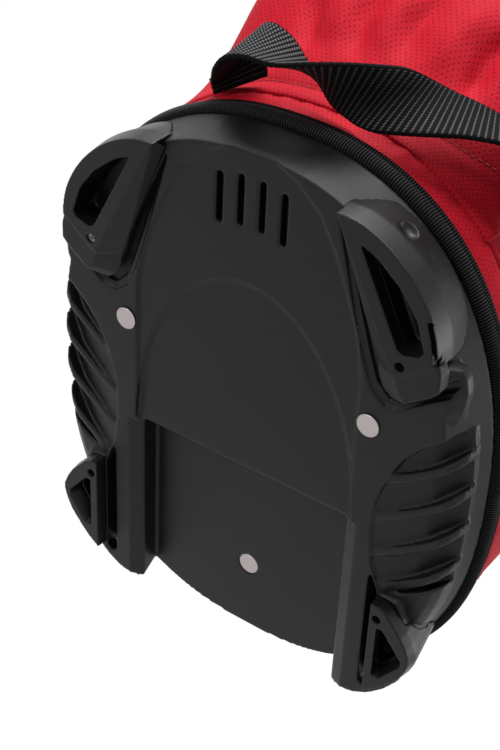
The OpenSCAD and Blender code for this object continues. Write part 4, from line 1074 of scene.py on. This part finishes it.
def strap(name, frames, width):
    """A flat grid laid along the frames, ribbed across and given its thickness."""
    shape = bmesh.new()
    layer = shape.loops.layers.uv.new("weave")
    rows = len(frames) - 1
    bmesh.ops.create_grid(shape, x_segments=rows, y_segments=STRAP_COLUMNS, size=0.5)
    for face in shape.faces:
        for loop in face.loops:
            row = round((loop.vert.co.x + 0.5) * rows)
            loop[layer].uv = (frames[row][3], loop.vert.co.y * width)
    for vert in shape.verts:
        row = round((vert.co.x + 0.5) * rows)
        spot, across, up, reach = frames[row]
        rib = STRAP_RIB * cos(2 * pi * reach / WEBBING_RIB)
        vert.co = spot + across * vert.co.y * width + up * rib
    piece = as_piece(name, shape, black_webbing)
    thickened(piece, WEBBING_T, offset=0)
    return applied(piece)


handle_frames = webbing_frames(by_the_seam(EDGE_A), by_the_seam(EDGE_B))
webbing_handle = strap("webbing_handle", handle_frames, WEBBING_W)
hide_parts("lower_handle", "lower_handle_left_end", "lower_handle_right_end")
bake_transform(webbing_handle)
print("webbing handle:", round(handle_frames[-1][3], 3), "m long")

# %% [markdown]
# ## The spine and its rings
# A wide strip of webbing covers the seam at the spine. Two folded tabs on it hold the rings for a shoulder
# strap, and one on the cuff holds the towel ring. The tabs are rounded copies of their solids.

# %% Strip, tabs and rings
STRIP_W, STRIP_LOW, STRIP_TOP, STRIP_Y, STRIP_STEPS = 0.046, 0.067, 0.8117, 0.1353, 600
STITCH_SIDE, STITCH_LIFT, STITCH_LOW = 0.0195, 0.0021, 0.004
strip_run = STRIP_TOP - STRIP_LOW
strip_frames = [(Vector((0, STRIP_Y + 0.001, STRIP_LOW + strip_run * i / STRIP_STEPS)), Vector((1, 0, 0)),
                 Vector((0, 1, 0)), strip_run * i / STRIP_STEPS) for i in range(STRIP_STEPS + 1)]
spine_webbing = strap("spine_webbing", strip_frames, STRIP_W)
settle(spine_webbing, ["spine_strip"])
for hand, side in (("left", -1), ("right", 1)):
    line = [Vector((side * STITCH_SIDE, STRIP_Y + STITCH_LIFT, STRIP_LOW + STITCH_LOW + 0.012 * i))
            for i in range(62)]
    sew("spine_stitches_" + hand, line, [Vector((0, 1, 0))] * len(line), grey_thread)
for tab in ("upper_ring_tab", "lower_ring_tab", "towel_tab"):
    sewn_tab = rounded("sewn_" + tab, tab, black_webbing, 0.0007, 3, 0.6)
    weave_map(sewn_tab.data)
    settle(sewn_tab, [tab])

# %% [markdown]
# ## The cuff, its bars and the grips
# The cuff is moulded and the grips are soft rubber, so they are rounded like the base. The bars are foam
# wrapped in cloth; they are run as cloth under pressure so that they bulge between their ends.

# %% Round the cuff and the grips, swell the bars
BAR_OVAL, BAR_HOLD = (0.106, 0.126), 0.93


def bar_hold(co):
    """Holds the ends of the bars, which are sewn to the cuff."""
    return 1.0 if hypot(co.x / BAR_OVAL[0], co.y / BAR_OVAL[1]) > BAR_HOLD else 0.0


moulded_cuff = rounded("moulded_cuff", "top_cuff", cuff_plastic, 0.0012, 4, 0.5)
settle(moulded_cuff, ["top_cuff"])
for grip in ("spine_grip", "pocket_grip"):
    soft_grip = rounded("soft_" + grip, grip, grip_rubber, 0.001, 6, 0.7)
    settle(soft_grip, [grip])
padded_bars = rounded("padded_bars", "top_divider", black_cloth, 0.003, 2)
swollen(padded_bars, bar_hold, pressure=3.0, growth=0.02, cap=0.003)
weave_map(padded_bars.data)
settle(padded_bars, ["top_divider"])
floor_pad = rounded("floor_pad", "base_pad", black_cloth, 0.002, 3)
weave_map(floor_pad.data)
settle(floor_pad, ["base_pad"])

# %% [markdown]
# ## Solids that stay
# Metal and plain moulded parts already have their true shape. They only need their finish.

# %% Give the solids their finish
STAY_FINISH = {
    "foot_screws": dull_zinc, "rivet_washers": plain_steel, "grip_rivets": plain_steel,
    "base_board": board_plastic, "stay_left": satin_aluminium, "stay_right": satin_aluminium,
    "stay_spine": satin_aluminium, "upper_ring": plain_steel, "lower_ring": plain_steel,
    "towel_ring": plain_steel,
}
for pocket in POCKETS:
    STAY_FINISH[pocket + "_slider"] = plain_steel
    STAY_FINISH[pocket + "_pull"] = pull_plastic
for node, finish in STAY_FINISH.items():
    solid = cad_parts[node]
    solid.data.materials.clear()
    solid.data.materials.append(finish)
print("solids with a new finish:", len(STAY_FINISH))
